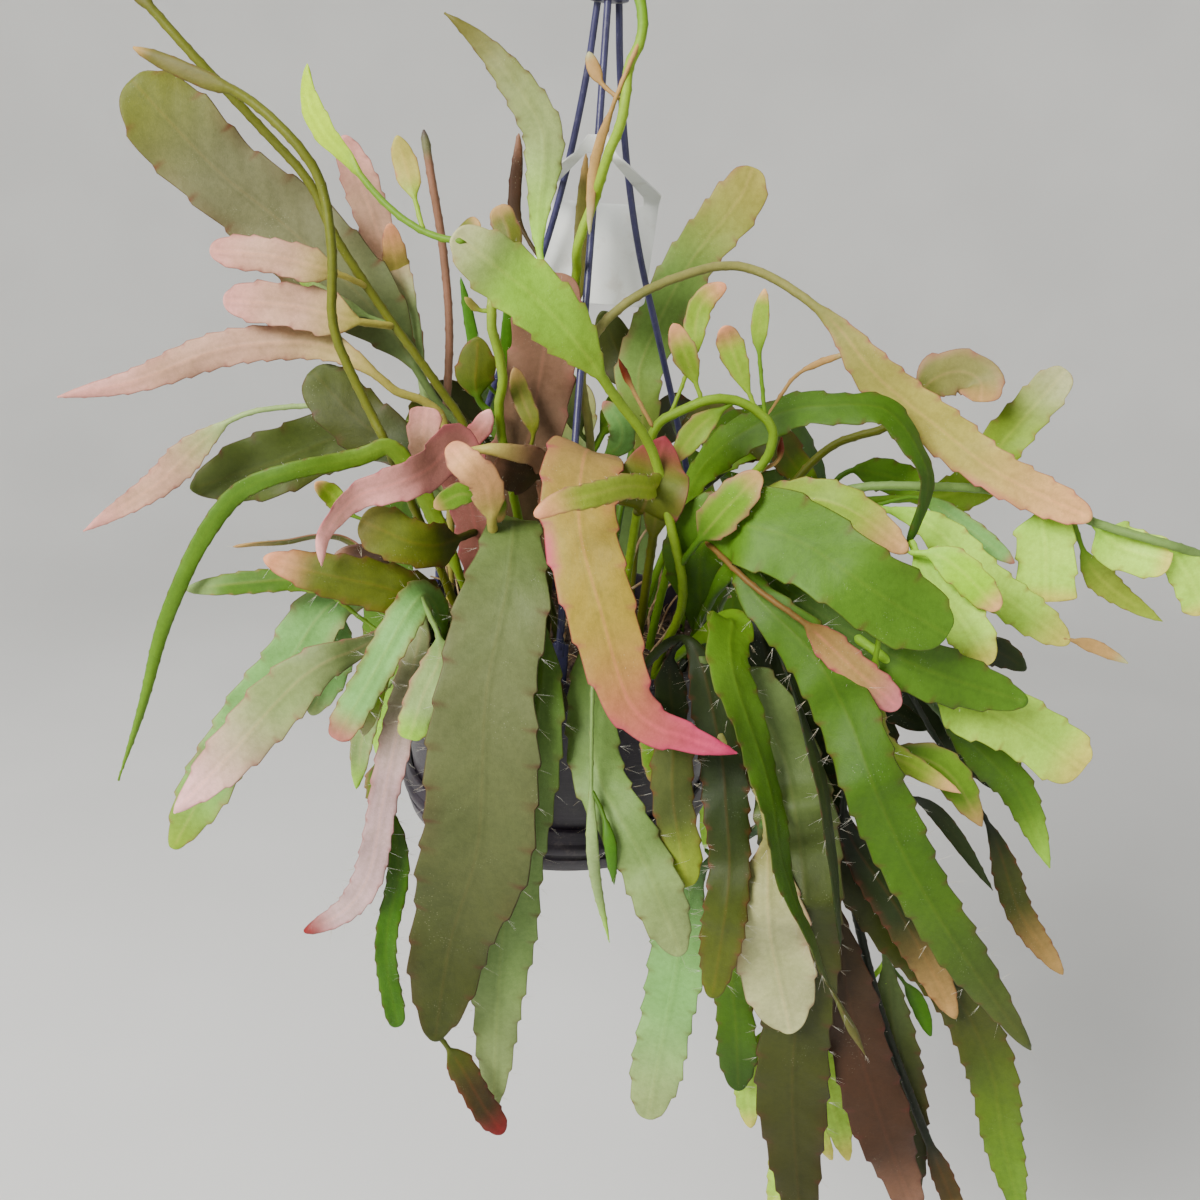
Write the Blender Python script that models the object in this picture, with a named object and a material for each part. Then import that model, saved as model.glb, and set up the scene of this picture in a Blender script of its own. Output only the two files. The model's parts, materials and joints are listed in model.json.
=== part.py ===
"""Red coral cactus in a hanging pot: pot, saucer, soil, hanger, care tag and the leafy stems."""
import math
import random

import bmesh
import bpy
import numpy as np
from mathutils import Matrix
from mathutils.kdtree import KDTree

# Lengths are in millimetres, right, back and up from the middle of the pot's rim.
# Every piece is lowered by HANG_HEIGHT at the end, so that the plant hangs from the world's origin.
MM = 0.001
HANG_HEIGHT = 312.0
GAP = 0.3
TURNED_SIDES = 28

# The pot
RIM_RADIUS = 80.0
RIM_BAND = 19.0
RIM_WALL = 2.5
WALL = 1.8
SHOULDER_RADIUS = 77.0
SAUCER_LINE_RADIUS = 70.6
POT_BASE_RADIUS = 66.0
POT_BASE = -91.5
FOOT_ROUND = 2.5
DRAIN_RADIUS = 6.0
SIDE_DRAIN_RADIUS = 4.5
SIDE_DRAIN_CIRCLE = 42.0
SIDE_DRAIN_COUNT = 4

# The saucer that clips on under the pot
SAUCER_TOP = -73.0
SAUCER_RADIUS = 73.5
SAUCER_BEAD_RADIUS = 75.0
SAUCER_GROOVE_RADIUS = 72.3
SAUCER_FOOT_RADIUS = 67.5
SAUCER_HOLE_RADIUS = 20.0
SAUCER_BASE = -95.5

# The soil
SOIL_LEVEL = -12.0
SOIL_LUMP = 1.6
SOIL_SIDES = 22
ROOT_DEPTH = 18.0
HOLE_RADIUS = 2.6

# The hanger: each strand runs out and down through (radius, height) to a clip inside the rim
STRAND_RADIUS = 1.9
STRAND_POINTS = ((5.0, 261.7), (8.0, 235.0), (14.5, 200.0), (24.0, 165.0), (37.0, 130.0),
                 (50.0, 95.0), (62.0, 60.0), (72.0, 32.0), (76.0, 14.0))
STRAND_HEADINGS = {"front": -90.0, "left": 150.0, "right": 30.0}
CLIP_WIDTH = 7.5
CLIP_THICK = 2.3
CLIP_TOP = 16.0
CLIP_FOOT = -13.0
NUB_WIDTH = 6.0
NUB_HIGH = 3.0
NUB_LEVEL = -8.0
COLLAR_BOTTOM = 262.0
COLLAR_TOP = 284.0
COLLAR_RADIUS = 8.5
COLLAR_SIDES = 16
HOOK_TUBE = 2.4
HOOK_RADIUS = 11.4

# The care tag: a band in front of the strands, a sloping window they pass through, and a body behind
TAG_TOP = 212.0
TAG_THICK = 0.8
TAG_WIDTH = 56.0
TAG_WINDOW = 41.0
TAG_NARROW = 4.0
TAG_BAND = 7.0
TAG_SLOPE = 42.0
TAG_BODY = 43.0
TAG_BACK = 20.0

# The stems: a round neck that widens to a flat blade with waved margins
NECK_RADIUS = 1.9
THIN_NECK = 0.8
NECK_SHARE = 0.08
LONG_NECK = 0.6
SHORT_NECK = 4.0
BLADE_THICK = 2.3
TIP_HALF = 1.6
TIP_THICK = 0.5
WAVE = 0.12
RIB_SPACE = 29.0
RIBS_MOST = 10
RIBS_LEAST = 4

# How stems are bent clear of each other, along lines of sight from a point in front of the pot
VIEW_FROM = np.array((15.0, -530.0, 200.0))
STEP = 5.0
REACH = 4.6
SPACING = 6.0
SWAP_DEPTH = 14.0
FAR_APART = 70.0
ROUNDS = 90
LAST_ROUNDS = 15

# The clumps on the far side, by rule
BACK_CLUMPS = 8
BACK_START = 27.0
BACK_END = 139.0
BACK_SEED = 5
FOOT_SPACE = 9.5


# Main colours of the stems, linear red, green and blue
TINTS = {
    "arch_green": (0.28, 0.38, 0.14), "blush": (0.50, 0.36, 0.27), "blush_green": (0.46, 0.40, 0.22),
    "blush_mint": (0.45, 0.42, 0.30), "bow_pink": (0.40, 0.32, 0.16),
    "bright_green": (0.17, 0.35, 0.03), "bright_lime": (0.42, 0.66, 0.02),
    "bud_coral": (0.45, 0.42, 0.17), "butter_pink": (0.60, 0.52, 0.26), "coral": (0.66, 0.36, 0.20),
    "dark_tan": (0.16, 0.14, 0.05), "deep_olive": (0.09, 0.10, 0.03), "deep_red": (0.16, 0.20, 0.03),
    "diag_green": (0.14, 0.19, 0.05), "fold_green": (0.22, 0.28, 0.07), "glaucous": (0.24, 0.38, 0.13),
    "glow_pink": (0.48, 0.58, 0.28), "green": (0.26, 0.38, 0.06), "green_deep": (0.11, 0.20, 0.06),
    "green_orange": (0.18, 0.17, 0.03), "green_pink": (0.21, 0.27, 0.07),
    "grey_mint": (0.28, 0.36, 0.24), "hang_dark": (0.09, 0.12, 0.03), "lime_glow": (0.52, 0.64, 0.20),
    "lime_green": (0.27, 0.40, 0.08), "low_green": (0.12, 0.15, 0.04), "lime_pink": (0.36, 0.45, 0.13),
    "lime_tan": (0.36, 0.44, 0.12), "mauve_brown": (0.17, 0.13, 0.10), "mauve_dark": (0.12, 0.07, 0.06),
    "mauve_pink": (0.35, 0.24, 0.20), "mint": (0.27, 0.37, 0.20), "mint_pink_tip": (0.40, 0.38, 0.25),
    "mint_red": (0.30, 0.40, 0.21), "mint_yellow": (0.38, 0.55, 0.22),
    "olive_blush": (0.26, 0.27, 0.08), "olive_deep": (0.13, 0.15, 0.05),
    "olive_green": (0.17, 0.20, 0.07), "olive_pink": (0.26, 0.28, 0.07),
    "olive_red": (0.18, 0.16, 0.02), "olive_tan": (0.25, 0.24, 0.10), "pale_blush": (0.46, 0.45, 0.24),
    "pale_mint": (0.48, 0.50, 0.38), "pale_olive": (0.33, 0.34, 0.20), "red_tan": (0.40, 0.20, 0.12),
    "rose": (0.58, 0.33, 0.32), "shade_green": (0.05, 0.08, 0.02), "silver_green": (0.26, 0.29, 0.16),
    "tall_olive": (0.33, 0.40, 0.12), "tan": (0.46, 0.34, 0.16), "tan_pink": (0.42, 0.32, 0.13),
    "tan_yellow": (0.44, 0.38, 0.10), "teal_wand": (0.16, 0.30, 0.12),
    "yellow_green": (0.33, 0.42, 0.13),
}
LOOKS = {}


class Stem:
    """One shoot: where it grows from, the places its rib passes and the blade it ends in.

    It grows from a foot (x, y) in the soil or from another shoot, given by its name. The neck is the
    share of its length that is round, full the share of its blade over which that widens, and tip sets
    how bluntly it ends (1.2 is long and pointed, 3 is blunt). Turn twists the blade by so many degrees
    from its start to its end. A shoot that is grown_into another keeps its own foot, and the two are
    one body where they touch.
    """

    def __init__(self, name, grows_from, tint, wide, places, neck=0.2, tip=2.0, full=0.4, turn=(0, 0),
                 grown_into=None):
        self.name = name
        self.parent = grows_from if isinstance(grows_from, str) else None
        self.foot = None if self.parent else grows_from
        self.tint = tint
        self.wide = wide
        self.places = [np.array(place, float) for place in places]
        self.neck = neck
        self.tip = tip
        self.full = full
        self.turn = turn
        self.grown_into = grown_into
        self.join = 0
        self.first = 0
        self.line = None
        self.ribs = None
        self.along = None


STEMS = []


def shoot(*args, **settings):
    STEMS.append(Stem(*args, **settings))


# Shoots, nearest the front first
shoot("cross_front", (33, -30), "olive_blush", 10, [(35, -60, 75), (30, -80, 85), (20, -100, 90), (10,
      -115, 90), (0, -125, 90), (-10, -130, 85)], neck=0.42, tip=2.6, full=0.15, grown_into="loop_stem")
shoot("pink_bow", (13, -40), "bow_pink", 29, [(10, -40, 70), (5, -70, 95), (5, -100, 75), (15, -120, 50),
      (30, -130, 15), (50, -130, 5), (70, -130, 0)], neck=0.3, tip=1.6, full=0.25)
shoot("long_green", (42, -38), "lime_tan", 21, [(50, -50, 30), (40, -65, 70), (30, -75, 100), (15, -85,
      120), (0, -95, 140), (-15, -100, 155), (-30, -100, 165), (-45, -100, 175)], neck=0.66, tip=2.6,
      grown_into="loop_stem")
shoot("lime_twist", "long_green", "bright_lime", 14, [(-45, -105, 165), (-55, -105, 175), (-70, -105,
      185), (-80, -100, 195), (-90, -100, 205), (-95, -100, 215), (-95, -100, 225)], neck=0.45, tip=1.5,
      full=0.85, turn=(0, 55))
shoot("lime_bud", "lime_twist", "tan_yellow", 8, [(-55, -105, 175), (-60, -100, 190), (-65, -100, 205)],
      neck=0.35)
shoot("folded_bud", "long_green", "olive_pink", 8, [(-45, -105, 165), (-40, -110, 175), (-35, -110, 180)],
      neck=0.1, tip=2.4, turn=(35, 35))
shoot("upright_bud", "long_green", "olive_pink", 9, [(-25, -105, 165), (-25, -105, 175), (-30, -105,
      185)], neck=0.15, tip=2.6, full=0.3)
shoot("front_bract", "loop_stem", "olive_pink", 31, [(35, -65, 55), (30, -80, 80), (35, -75, 105)],
      neck=0.25, tip=1.5, full=0.45)
shoot("loop_stem", (24, -20), "green", 4, [(30, -50, 95), (35, -50, 105), (50, -50, 115), (65, -45, 115),
      (80, -40, 105), (80, -35, 90), (70, -30, 75)], neck=1)
shoot("loop_bud_1", "loop_stem", "bud_coral", 11, [(50, -50, 115), (45, -50, 125), (40, -55, 135), (35,
      -55, 145)], neck=0.12, tip=2.1, full=0.62)
shoot("loop_bud_2", "loop_stem", "bud_coral", 11, [(70, -40, 110), (65, -45, 125), (60, -45, 135), (55,
      -50, 145)], neck=0.12, tip=2.3, full=0.62)
shoot("loop_bud_3", "loop_stem", "lime_pink", 7, [(75, -40, 110), (70, -45, 140), (70, -45, 160)],
      neck=0.45, tip=1.9, full=0.5)
shoot("loop_bud_4", "loop_stem", "bud_coral", 10, [(40, -50, 100), (40, -45, 115), (45, -45, 135), (45,
      -40, 150), (55, -40, 160)], neck=0.4, tip=2.3, full=0.5)
shoot("loop_leaf", "loop_stem", "lime_pink", 12, [(65, -45, 115), (50, -50, 105), (40, -55, 90)],
      neck=0.1, tip=1.8, full=0.5)
shoot("red_needle_1", "loop_stem", "red_tan", 3, [(30, -50, 105), (20, -50, 120), (15, -55, 130)],
      neck=0.5, tip=1.4)
shoot("red_needle_2", "loop_stem", "red_tan", 3, [(75, -35, 85), (85, -35, 90), (85, -35, 100)], neck=0.5,
      tip=1.4)
shoot("green_paddle", "long_green", "green_pink", 17, [(55, -55, 50), (60, -60, 70), (75, -60, 90)],
      neck=0.3, tip=2.2)
shoot("coral_leaf", (-28, -42), "coral", 13, [(-30, -90, 80), (-40, -100, 95), (-45, -95, 100)], neck=0.7,
      tip=2.5, full=0.3, grown_into="giant_olive")
shoot("mauve_leaf_1", (-8, -27), "mauve_pink", 9, [(-10, -60, 80), (-25, -80, 95), (-40, -80, 95)],
      neck=0.3)
shoot("mauve_leaf_2", "mauve_leaf_1", "mauve_dark", 17, [(-10, -65, 80), (-20, -70, 85), (-30, -80, 90)],
      neck=0.1)
shoot("small_green_1", "coral_leaf", "green_pink", 9, [(-35, -90, 75), (-40, -90, 80), (-50, -95, 75)],
      neck=0.15)
shoot("small_green_2", "coral_leaf", "green_pink", 11, [(-30, -85, 80), (-30, -90, 80), (-25, -90, 70)],
      neck=0.1)
shoot("giant_olive", (-18, -52), "olive_deep", 44, [(-20, -60, 45), (-20, -85, 70), (-20, -110, 50), (-25,
      -120, 10), (-25, -125, -50), (-35, -120, -100), (-40, -120, -150)], neck=0.06, tip=2.2, full=0.6)
shoot("red_spur", "giant_olive", "olive_red", 13, [(-35, -120, -145), (-30, -110, -170), (-20, -105,
      -195), (-10, -100, -215)], neck=0.15, tip=2.4, full=0.25)
shoot("mint_red_tip", (-51, -32), "mint_red", 14, [(-55, -70, 30), (-60, -90, 30), (-70, -100, 10), (-85,
      -105, -20)], tip=2.9, full=0.3, grown_into="pale_ribbon")
shoot("mint_short", "mint_red_tip", "mint_yellow", 13, [(-45, -85, 35), (-45, -100, 20), (-50, -110, 5),
      (-55, -110, -15)], neck=0.3, tip=2.9, full=0.3)
shoot("yellow_tip", "mint_red_tip", "lime_tan", 10, [(-60, -85, 25), (-70, -95, 5), (-75, -100, -20)])
shoot("pale_ribbon", (-40, -40), "blush_mint", 13, [(-55, -75, 35), (-55, -90, 20), (-60, -100, -10),
      (-65, -105, -40), (-70, -105, -75), (-75, -105, -90), (-85, -100, -105), (-100, -100, -115)],
      neck=0.28, tip=2.4, full=0.2)
shoot("pale_strip", "pale_ribbon", "mint_yellow", 11, [(-65, -85, 10), (-75, -90, -15), (-80, -90, -50)],
      neck=0.25, tip=1.6)
shoot("bright_strip", "pale_ribbon", "bright_green", 10, [(-50, -90, 20), (-55, -95, -15), (-65, -100,
      -45), (-60, -100, -80), (-65, -100, -120), (-60, -95, -165)], neck=0.35, tip=2.8, full=0.2)
shoot("brown_edge", "giant_olive", "mauve_pink", 15, [(-20, -95, 45), (-35, -105, 25), (-40, -110, -15),
      (-40, -110, -60), (-40, -110, -115)])
shoot("pale_behind", (-6, -48), "mint", 28, [(-10, -85, 35), (-5, -100, 10), (-10, -110, -35), (-15, -110,
      -110), (-15, -105, -200)], tip=1.9, full=0.3)
shoot("dark_chip", "pale_behind", "olive_deep", 11, [(-5, -90, 25), (-5, -95, 10), (5, -95, -5)],
      neck=0.1)
shoot("narrow_mint_1", "mint_fall", "mint_yellow", 5, [(10, -90, 40), (15, -105, 5), (20, -110, -60), (30,
      -105, -105)], neck=0.35, tip=1.4)
shoot("narrow_mint_2", "narrow_mint_1", "bright_green", 5, [(20, -105, -30), (25, -105, -50), (30, -100,
      -80)], tip=1.4)
shoot("mint_fall", (20, -50), "mint", 22, [(15, -90, 25), (15, -105, 5), (20, -110, -25), (40, -110, -60),
      (60, -110, -105)], tip=2.5, full=0.3)
shoot("green_tongue", "mint_fall", "lime_pink", 17, [(35, -85, 25), (45, -100, -5), (50, -105, -35), (60,
      -105, -75)], neck=0.3, tip=2.6)
shoot("pink_nib", "green_tongue", "green_pink", 12, [(40, -100, 5), (40, -110, -10), (45, -110, -25)],
      neck=0.15, tip=2.6)
shoot("bright_arch", (-38, -16), "arch_green", 8, [(-70, -45, 80), (-90, -50, 80), (-115, -60, 75), (-135,
      -60, 65), (-150, -60, 45), (-160, -60, 25), (-170, -60, 0), (-180, -60, -35), (-195, -55, -75)],
      neck=0.1, tip=1.5, full=0.12, turn=(40, -20))
shoot("pink_curl", (-30, -28), "rose", 20, [(-45, -60, 85), (-55, -70, 85), (-65, -80, 80), (-80, -80,
      75), (-90, -85, 65), (-95, -85, 55), (-95, -85, 45)], neck=0.12, tip=1.65, full=0.25, turn=(0, 35))
shoot("mid_leaf", "pink_curl", "olive_pink", 20, [(-40, -65, 45), (-55, -80, 55), (-80, -85, 65)],
      tip=2.6, full=0.3)
shoot("orange_leaf", (-54, -14), "green_orange", 21, [(-55, -80, 30), (-70, -90, 40), (-90, -95, 45),
      (-115, -95, 50)], tip=2.2)
shoot("maroon_leaf", "orange_leaf", "mauve_dark", 9, [(-60, -85, 40), (-75, -85, 50), (-90, -85, 50)])
shoot("hairy_edge", "orange_leaf", "olive_pink", 10, [(-70, -60, 45), (-90, -65, 50), (-110, -70, 50),
      (-135, -70, 45)], neck=0.1, tip=1.8, turn=(75, 75))
shoot("thin_wand", (-48, -8), "olive_tan", 7, [(-75, -45, 80), (-85, -45, 100), (-95, -45, 120), (-100,
      -45, 135), (-100, -45, 160), (-105, -40, 185), (-115, -40, 200), (-135, -35, 215), (-150, -35, 220),
      (-180, -30, 230)], neck=0.84)
shoot("blush_up", (-22, -16), "blush_mint", 14, [(-60, -50, 85), (-60, -55, 95), (-60, -55, 105)],
      neck=0.68, tip=3, full=0.25)
shoot("pink_dot", "blush_up", "rose", 9, [(-50, -50, 85), (-40, -50, 95), (-35, -50, 105)], neck=0.4)
shoot("vertical_stem", (-10, -14), "yellow_green", 3, [(-30, -50, 95), (-30, -55, 120), (-35, -60, 140),
      (-35, -60, 150)], neck=1)
shoot("stem_bud", "vertical_stem", "tan_yellow", 3, [(-35, -60, 145), (-40, -60, 145), (-45, -65, 150)])
shoot("stem_leaf", "vertical_stem", "deep_red", 18, [(-30, -55, 100), (-40, -55, 110), (-40, -60, 120),
      (-40, -60, 135)], neck=0.3, tip=1.8)
shoot("olive_bud", "vertical_stem", "olive_pink", 9, [(-30, -50, 85), (-15, -60, 95), (-20, -65, 110),
      (-25, -65, 125)], neck=0.35)
shoot("big_mauve", (-4, -3), "mauve_brown", 29, [(-25, -30, 65), (-20, -40, 90), (-15, -45, 130), (-15,
      -45, 160)], neck=0.12, tip=3)
shoot("tall_pale", "big_mauve", "tall_olive", 17, [(-20, -45, 155), (-20, -40, 170), (-20, -40, 190),
      (-20, -40, 210), (-30, -40, 225), (-45, -35, 240), (-60, -35, 250)], neck=0.04, tip=1.3, full=0.5)
shoot("maroon_sliver", "tall_pale", "mauve_dark", 5, [(-20, -40, 165), (-30, -35, 180), (-30, -35, 195),
      (-30, -35, 210)], neck=0.15)
shoot("lime_strip", "big_mauve", "bright_green", 6, [(-25, -35, 95), (-30, -35, 120), (-30, -40, 145),
      (-35, -40, 165)], tip=1.6)
shoot("lime_strip_2", "lime_strip", "bright_green", 5, [(-30, -35, 100), (-40, -40, 115), (-45, -40, 135),
      (-50, -40, 155)], neck=0.3, tip=1.6)
shoot("green_top", (6, 4), "green", 4, [(-10, -5, 90), (-10, -15, 125), (-5, -20, 155), (-5, -30, 170),
      (0, -30, 185), (5, -35, 205), (10, -35, 220), (10, -35, 235), (15, -35, 250), (10, -30, 265), (5,
      -30, 275)], neck=0.86)
shoot("tan_dry", "green_top", "tan", 4, [(15, -35, 245), (10, -40, 235), (5, -40, 220), (0, -45, 200), (0,
      -45, 175)], neck=0.3)
shoot("tan_bud", "green_top", "tan", 5, [(10, -35, 225), (0, -40, 230), (-5, -40, 240)], neck=0.5)
shoot("mint_back_tag", "green_top", "olive_tan", 6, [(-5, -15, 95), (-5, -5, 145), (-5, 0, 180), (-5, 0,
      205)], neck=0.3)
shoot("long_arch", (16, -6), "butter_pink", 20, [(5, -15, 90), (0, -25, 115), (5, -20, 135), (20, -15,
      150), (40, -10, 160), (60, -5, 165), (80, -5, 160), (105, -10, 145), (125, -15, 125), (155, -20,
      105), (180, -30, 90), (220, -35, 75)], neck=0.61, tip=2.5)
shoot("mint_strip", "long_arch", "mint_yellow", 11, [(-5, -10, 85), (0, -25, 95), (-5, -30, 120)],
      neck=0.15, tip=1.6)
shoot("pink_edge_leaf", "long_arch", "mint_red", 12, [(30, -20, 80), (20, -35, 95), (10, -40, 110)])
shoot("big_green", (63, -26), "glaucous", 32, [(55, -60, 55), (65, -70, 70), (90, -85, 70), (120, -95,
      55), (150, -95, 40)], neck=0.12, tip=2.7, full=0.35)
shoot("pink_tongue", "big_green", "blush_green", 14, [(65, -70, 55), (75, -85, 50), (95, -95, 40), (115,
      -100, 25), (135, -100, 10)], neck=0.5, tip=2.5, full=0.3)
shoot("long_diagonal", (54, -34), "diag_green", 25, [(65, -80, 55), (75, -100, 50), (95, -110, 35), (110,
      -115, 15), (125, -120, -15), (145, -120, -50), (170, -120, -85), (210, -115, -135)], neck=0.12,
      tip=1.9, full=0.45, grown_into="big_green")
shoot("bright_fold", (41, -53), "fold_green", 20, [(65, -85, 35), (65, -105, 30), (70, -110, 15), (85,
      -115, -20), (95, -120, -55), (115, -125, -95), (140, -120, -140)], neck=0.12, tip=1.25, full=0.2,
      turn=(10, 98))
shoot("green_hang", (31, -60), "hang_dark", 18, [(50, -95, 30), (65, -110, -5), (70, -115, -30), (75,
      -115, -65), (75, -110, -125)], neck=0.25, tip=2.5, full=0.25)
shoot("small_dark", "green_hang", "shade_green", 13, [(50, -90, 35), (45, -95, 30), (45, -100, 10), (50,
      -100, -10)], neck=0.15)
shoot("tan_teeth", "long_diagonal", "shade_green", 7, [(75, -95, 50), (90, -105, 20), (105, -110, -15),
      (115, -110, -50), (125, -110, -95)], tip=1.6, turn=(40, 60))
shoot("strip_leaf", "big_green", "bright_green", 7, [(65, -75, 55), (70, -85, 50), (80, -95, 40), (90,
      -100, 30)], neck=0.15, tip=1.6)
shoot("pale_big", "green_hang", "pale_mint", 33, [(70, -105, 0), (85, -110, -30), (90, -110, -55), (95,
      -110, -90), (110, -110, -140)], neck=0.3, tip=2.2)
shoot("dark_long", "green_hang", "olive_deep", 31, [(65, -95, 25), (85, -105, 0), (100, -110, -40), (110,
      -110, -95), (115, -105, -170), (130, -105, -255)], neck=0.03, tip=2.4, full=0.06)
shoot("dark_nib", "pale_big", "green_deep", 18, [(90, -95, -75), (85, -90, -120), (90, -90, -155), (95,
      -90, -190)], neck=0.3, tip=2.4)
shoot("grey_mint", "pale_big", "grey_mint", 25, [(75, -95, -40), (65, -90, -80), (60, -90, -135), (55,
      -90, -210)], neck=0.25, tip=2.6)
shoot("green_dip", "long_diagonal", "dark_tan", 18, [(95, -105, -5), (120, -105, -40), (145, -105, -75),
      (165, -105, -105), (180, -105, -130)])
shoot("yellow_side", "big_green", "lime_pink", 13, [(105, -90, 15), (125, -100, 0), (145, -100, -15),
      (165, -100, -25)], tip=1.6)
shoot("second_green", (62, -17), "glaucous", 25, [(75, -45, 45), (95, -65, 40), (120, -80, 30), (150, -85,
      20), (190, -85, 10)], neck=0.25, tip=2.3, full=0.35)
shoot("yellow_pink_side", (66, -6), "lime_pink", 19, [(80, -30, 60), (95, -40, 75), (115, -50, 75), (140,
      -55, 60)], neck=0.25, tip=2.3)
shoot("yellow_pink_tip", "yellow_pink_side", "lime_pink", 15, [(140, -55, 60), (155, -60, 60), (180, -60,
      40)], neck=0.1, tip=2.3)
shoot("dark_arch", (40, -6), "green_deep", 20, [(50, -15, 65), (55, -20, 80), (65, -30, 95), (85, -35,
      110), (105, -40, 115), (125, -40, 115), (140, -45, 100), (145, -50, 85), (140, -50, 60)], tip=1.6,
      turn=(0, 62))
shoot("dark_arch_end", "dark_arch", "lime_glow", 20, [(140, -50, 65), (150, -55, 50), (165, -60, 35),
      (180, -60, 15)], neck=0.08, tip=2.5, full=0.3)
shoot("green_right", "yellow_pink_side", "lime_glow", 19, [(100, -20, 65), (130, -25, 70), (155, -30, 65),
      (180, -40, 45), (220, -40, 20)], neck=0.3, tip=2.3)
shoot("orange_nib", "green_right", "tan", 6, [(215, -40, 20), (230, -40, 20), (245, -45, 15)], neck=0.1,
      tip=1.6)
shoot("pink_edge_side", "green_right", "mint_red", 10, [(130, -25, 75), (150, -20, 75), (170, -25, 65),
      (195, -25, 50)], neck=0.25)
shoot("light_side", "second_green", "lime_glow", 27, [(120, -70, 25), (155, -65, 5), (190, -70, -5), (225,
      -70, -25)], neck=0.3, tip=2.7, full=0.3)
shoot("narrow_tan", "second_green", "dark_tan", 13, [(130, -70, 20), (160, -70, -15), (190, -75, -55),
      (210, -75, -95), (235, -75, -125)], neck=0.5)
shoot("pale_point", "second_green", "lime_green", 19, [(130, -70, 20), (160, -60, -5), (190, -60, -30),
      (205, -60, -45), (225, -60, -80)], neck=0.3, tip=1.4)
shoot("dark_side", "green_dip", "green_pink", 17, [(105, -100, -20), (135, -90, -15), (160, -90, -20),
      (180, -90, -45)], neck=0.3, tip=1.5)
shoot("narrow_side", "green_dip", "shade_green", 7, [(125, -105, -45), (140, -100, -30), (160, -90, -40),
      (190, -90, -75)], neck=0.3, tip=1.4)
shoot("dark_chip_2", "second_green", "shade_green", 11, [(100, -60, 35), (125, -70, 5), (155, -75, -10)],
      neck=0.4)
shoot("small_side", "light_side", "shade_green", 13, [(155, -65, 10), (180, -55, 20), (200, -50, 10)])
shoot("olive_low", (52, -43), "low_green", 23, [(65, -80, 25), (100, -90, -30), (140, -100, -80), (175,
      -100, -115), (200, -100, -155), (215, -100, -200), (235, -95, -250)], neck=0.25, full=0.25)
shoot("mauve_low", "olive_low", "mauve_dark", 27, [(95, -90, -15), (120, -100, -80), (140, -100, -145),
      (160, -105, -195), (185, -100, -250)], neck=0.22)
shoot("tan_low", "olive_low", "dark_tan", 10, [(125, -90, -60), (150, -90, -135), (175, -90, -190), (210,
      -90, -260)], neck=0.72)
shoot("olive_back_low", "olive_low", "olive_deep", 22, [(115, -90, -50), (145, -85, -95), (160, -85,
      -150), (175, -85, -205), (185, -80, -265)], neck=0.3)
shoot("tiny_low", "olive_back_low", "bright_green", 7, [(155, -85, -120), (170, -80, -140), (180, -80,
      -160)], neck=0.3)
shoot("bright_low_1", "dark_long", "lime_glow", 14, [(105, -105, -115), (105, -90, -155), (100, -85,
      -190), (105, -80, -220)], neck=0.35)
shoot("bright_low_2", "dark_long", "lime_glow", 14, [(115, -105, -150), (120, -90, -205), (120, -90,
      -265)], neck=0.3)
shoot("bright_low_3", "olive_back_low", "lime_glow", 14, [(145, -85, -120), (135, -75, -170), (140, -75,
      -200), (155, -75, -240)], neck=0.3)
shoot("bright_low_4", "olive_back_low", "lime_glow", 13, [(145, -80, -130), (130, -70, -190), (135, -65,
      -220), (150, -65, -250)], neck=0.3)
shoot("teal_wand", (66, 8), "teal_wand", 9, [(85, -5, 50), (95, -10, 60), (120, -15, 75), (150, -20, 80),
      (190, -20, 80), (230, -25, 70), (275, -25, 60), (305, -20, 45)], neck=0.88)
shoot("wand_leaf_1", "teal_wand", "lime_glow", 25, [(200, -20, 75), (205, -30, 60), (210, -30, 35)],
      neck=0.08, tip=3, full=0.2)
shoot("wand_leaf_2", "teal_wand", "lime_glow", 21, [(225, -25, 75), (240, -20, 60), (265, -20, 55)],
      neck=0.1, tip=2.6, full=0.25)
shoot("wand_leaf_3", "teal_wand", "yellow_green", 13, [(215, -25, 75), (230, -20, 50), (250, -15, 35),
      (270, -15, 25)], tip=1.3)
shoot("wand_leaf_4", "teal_wand", "lime_glow", 16, [(260, -25, 65), (270, -30, 50), (280, -30, 35)],
      neck=0.1, tip=2.8, full=0.25)
shoot("curled_leaf", "upright_right", "olive_pink", 20, [(80, 20, 65), (115, 20, 85), (140, 10, 100),
      (150, 10, 115), (160, 10, 125), (175, 10, 125), (175, 0, 115)], neck=0.66, tip=2.8, full=0.3)
shoot("upright_right", (56, 28), "lime_tan", 20, [(90, 25, 50), (135, 25, 60), (180, 20, 70), (195, 20,
      95), (215, 15, 130)], neck=0.58, tip=2.8, full=0.35)
shoot("tan_thread", "dark_arch", "tan", 3, [(75, -30, 110), (90, -25, 125), (110, -25, 135)], neck=0.5)
shoot("mid_back_leaf", "upright_right", "lime_green", 16, [(115, 25, 60), (125, 20, 75), (145, 15, 75),
      (165, 15, 70)], neck=0.3, tip=2.4)
shoot("far_wand", (-40, 8), "olive_tan", 6, [(-50, 5, 80), (-55, 5, 90), (-70, 5, 110), (-90, 5, 135),
      (-110, 0, 165), (-120, 0, 185), (-140, 0, 205), (-165, -5, 230), (-180, -5, 245), (-195, -5, 260)],
      neck=0.93)
shoot("blush_side_1", "far_wand", "blush", 16, [(-95, 5, 145), (-110, -5, 150), (-135, -10, 155), (-160,
      -10, 155)], tip=2.4, full=0.3)
shoot("blush_side_2", "far_wand", "blush", 20, [(-85, 5, 130), (-100, -5, 130), (-125, -10, 135), (-155,
      -10, 135)], tip=2.4, full=0.3)
shoot("lime_side", "far_wand", "mint_yellow", 7, [(-90, 5, 120), (-110, 10, 135), (-130, 15, 145)])
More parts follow.
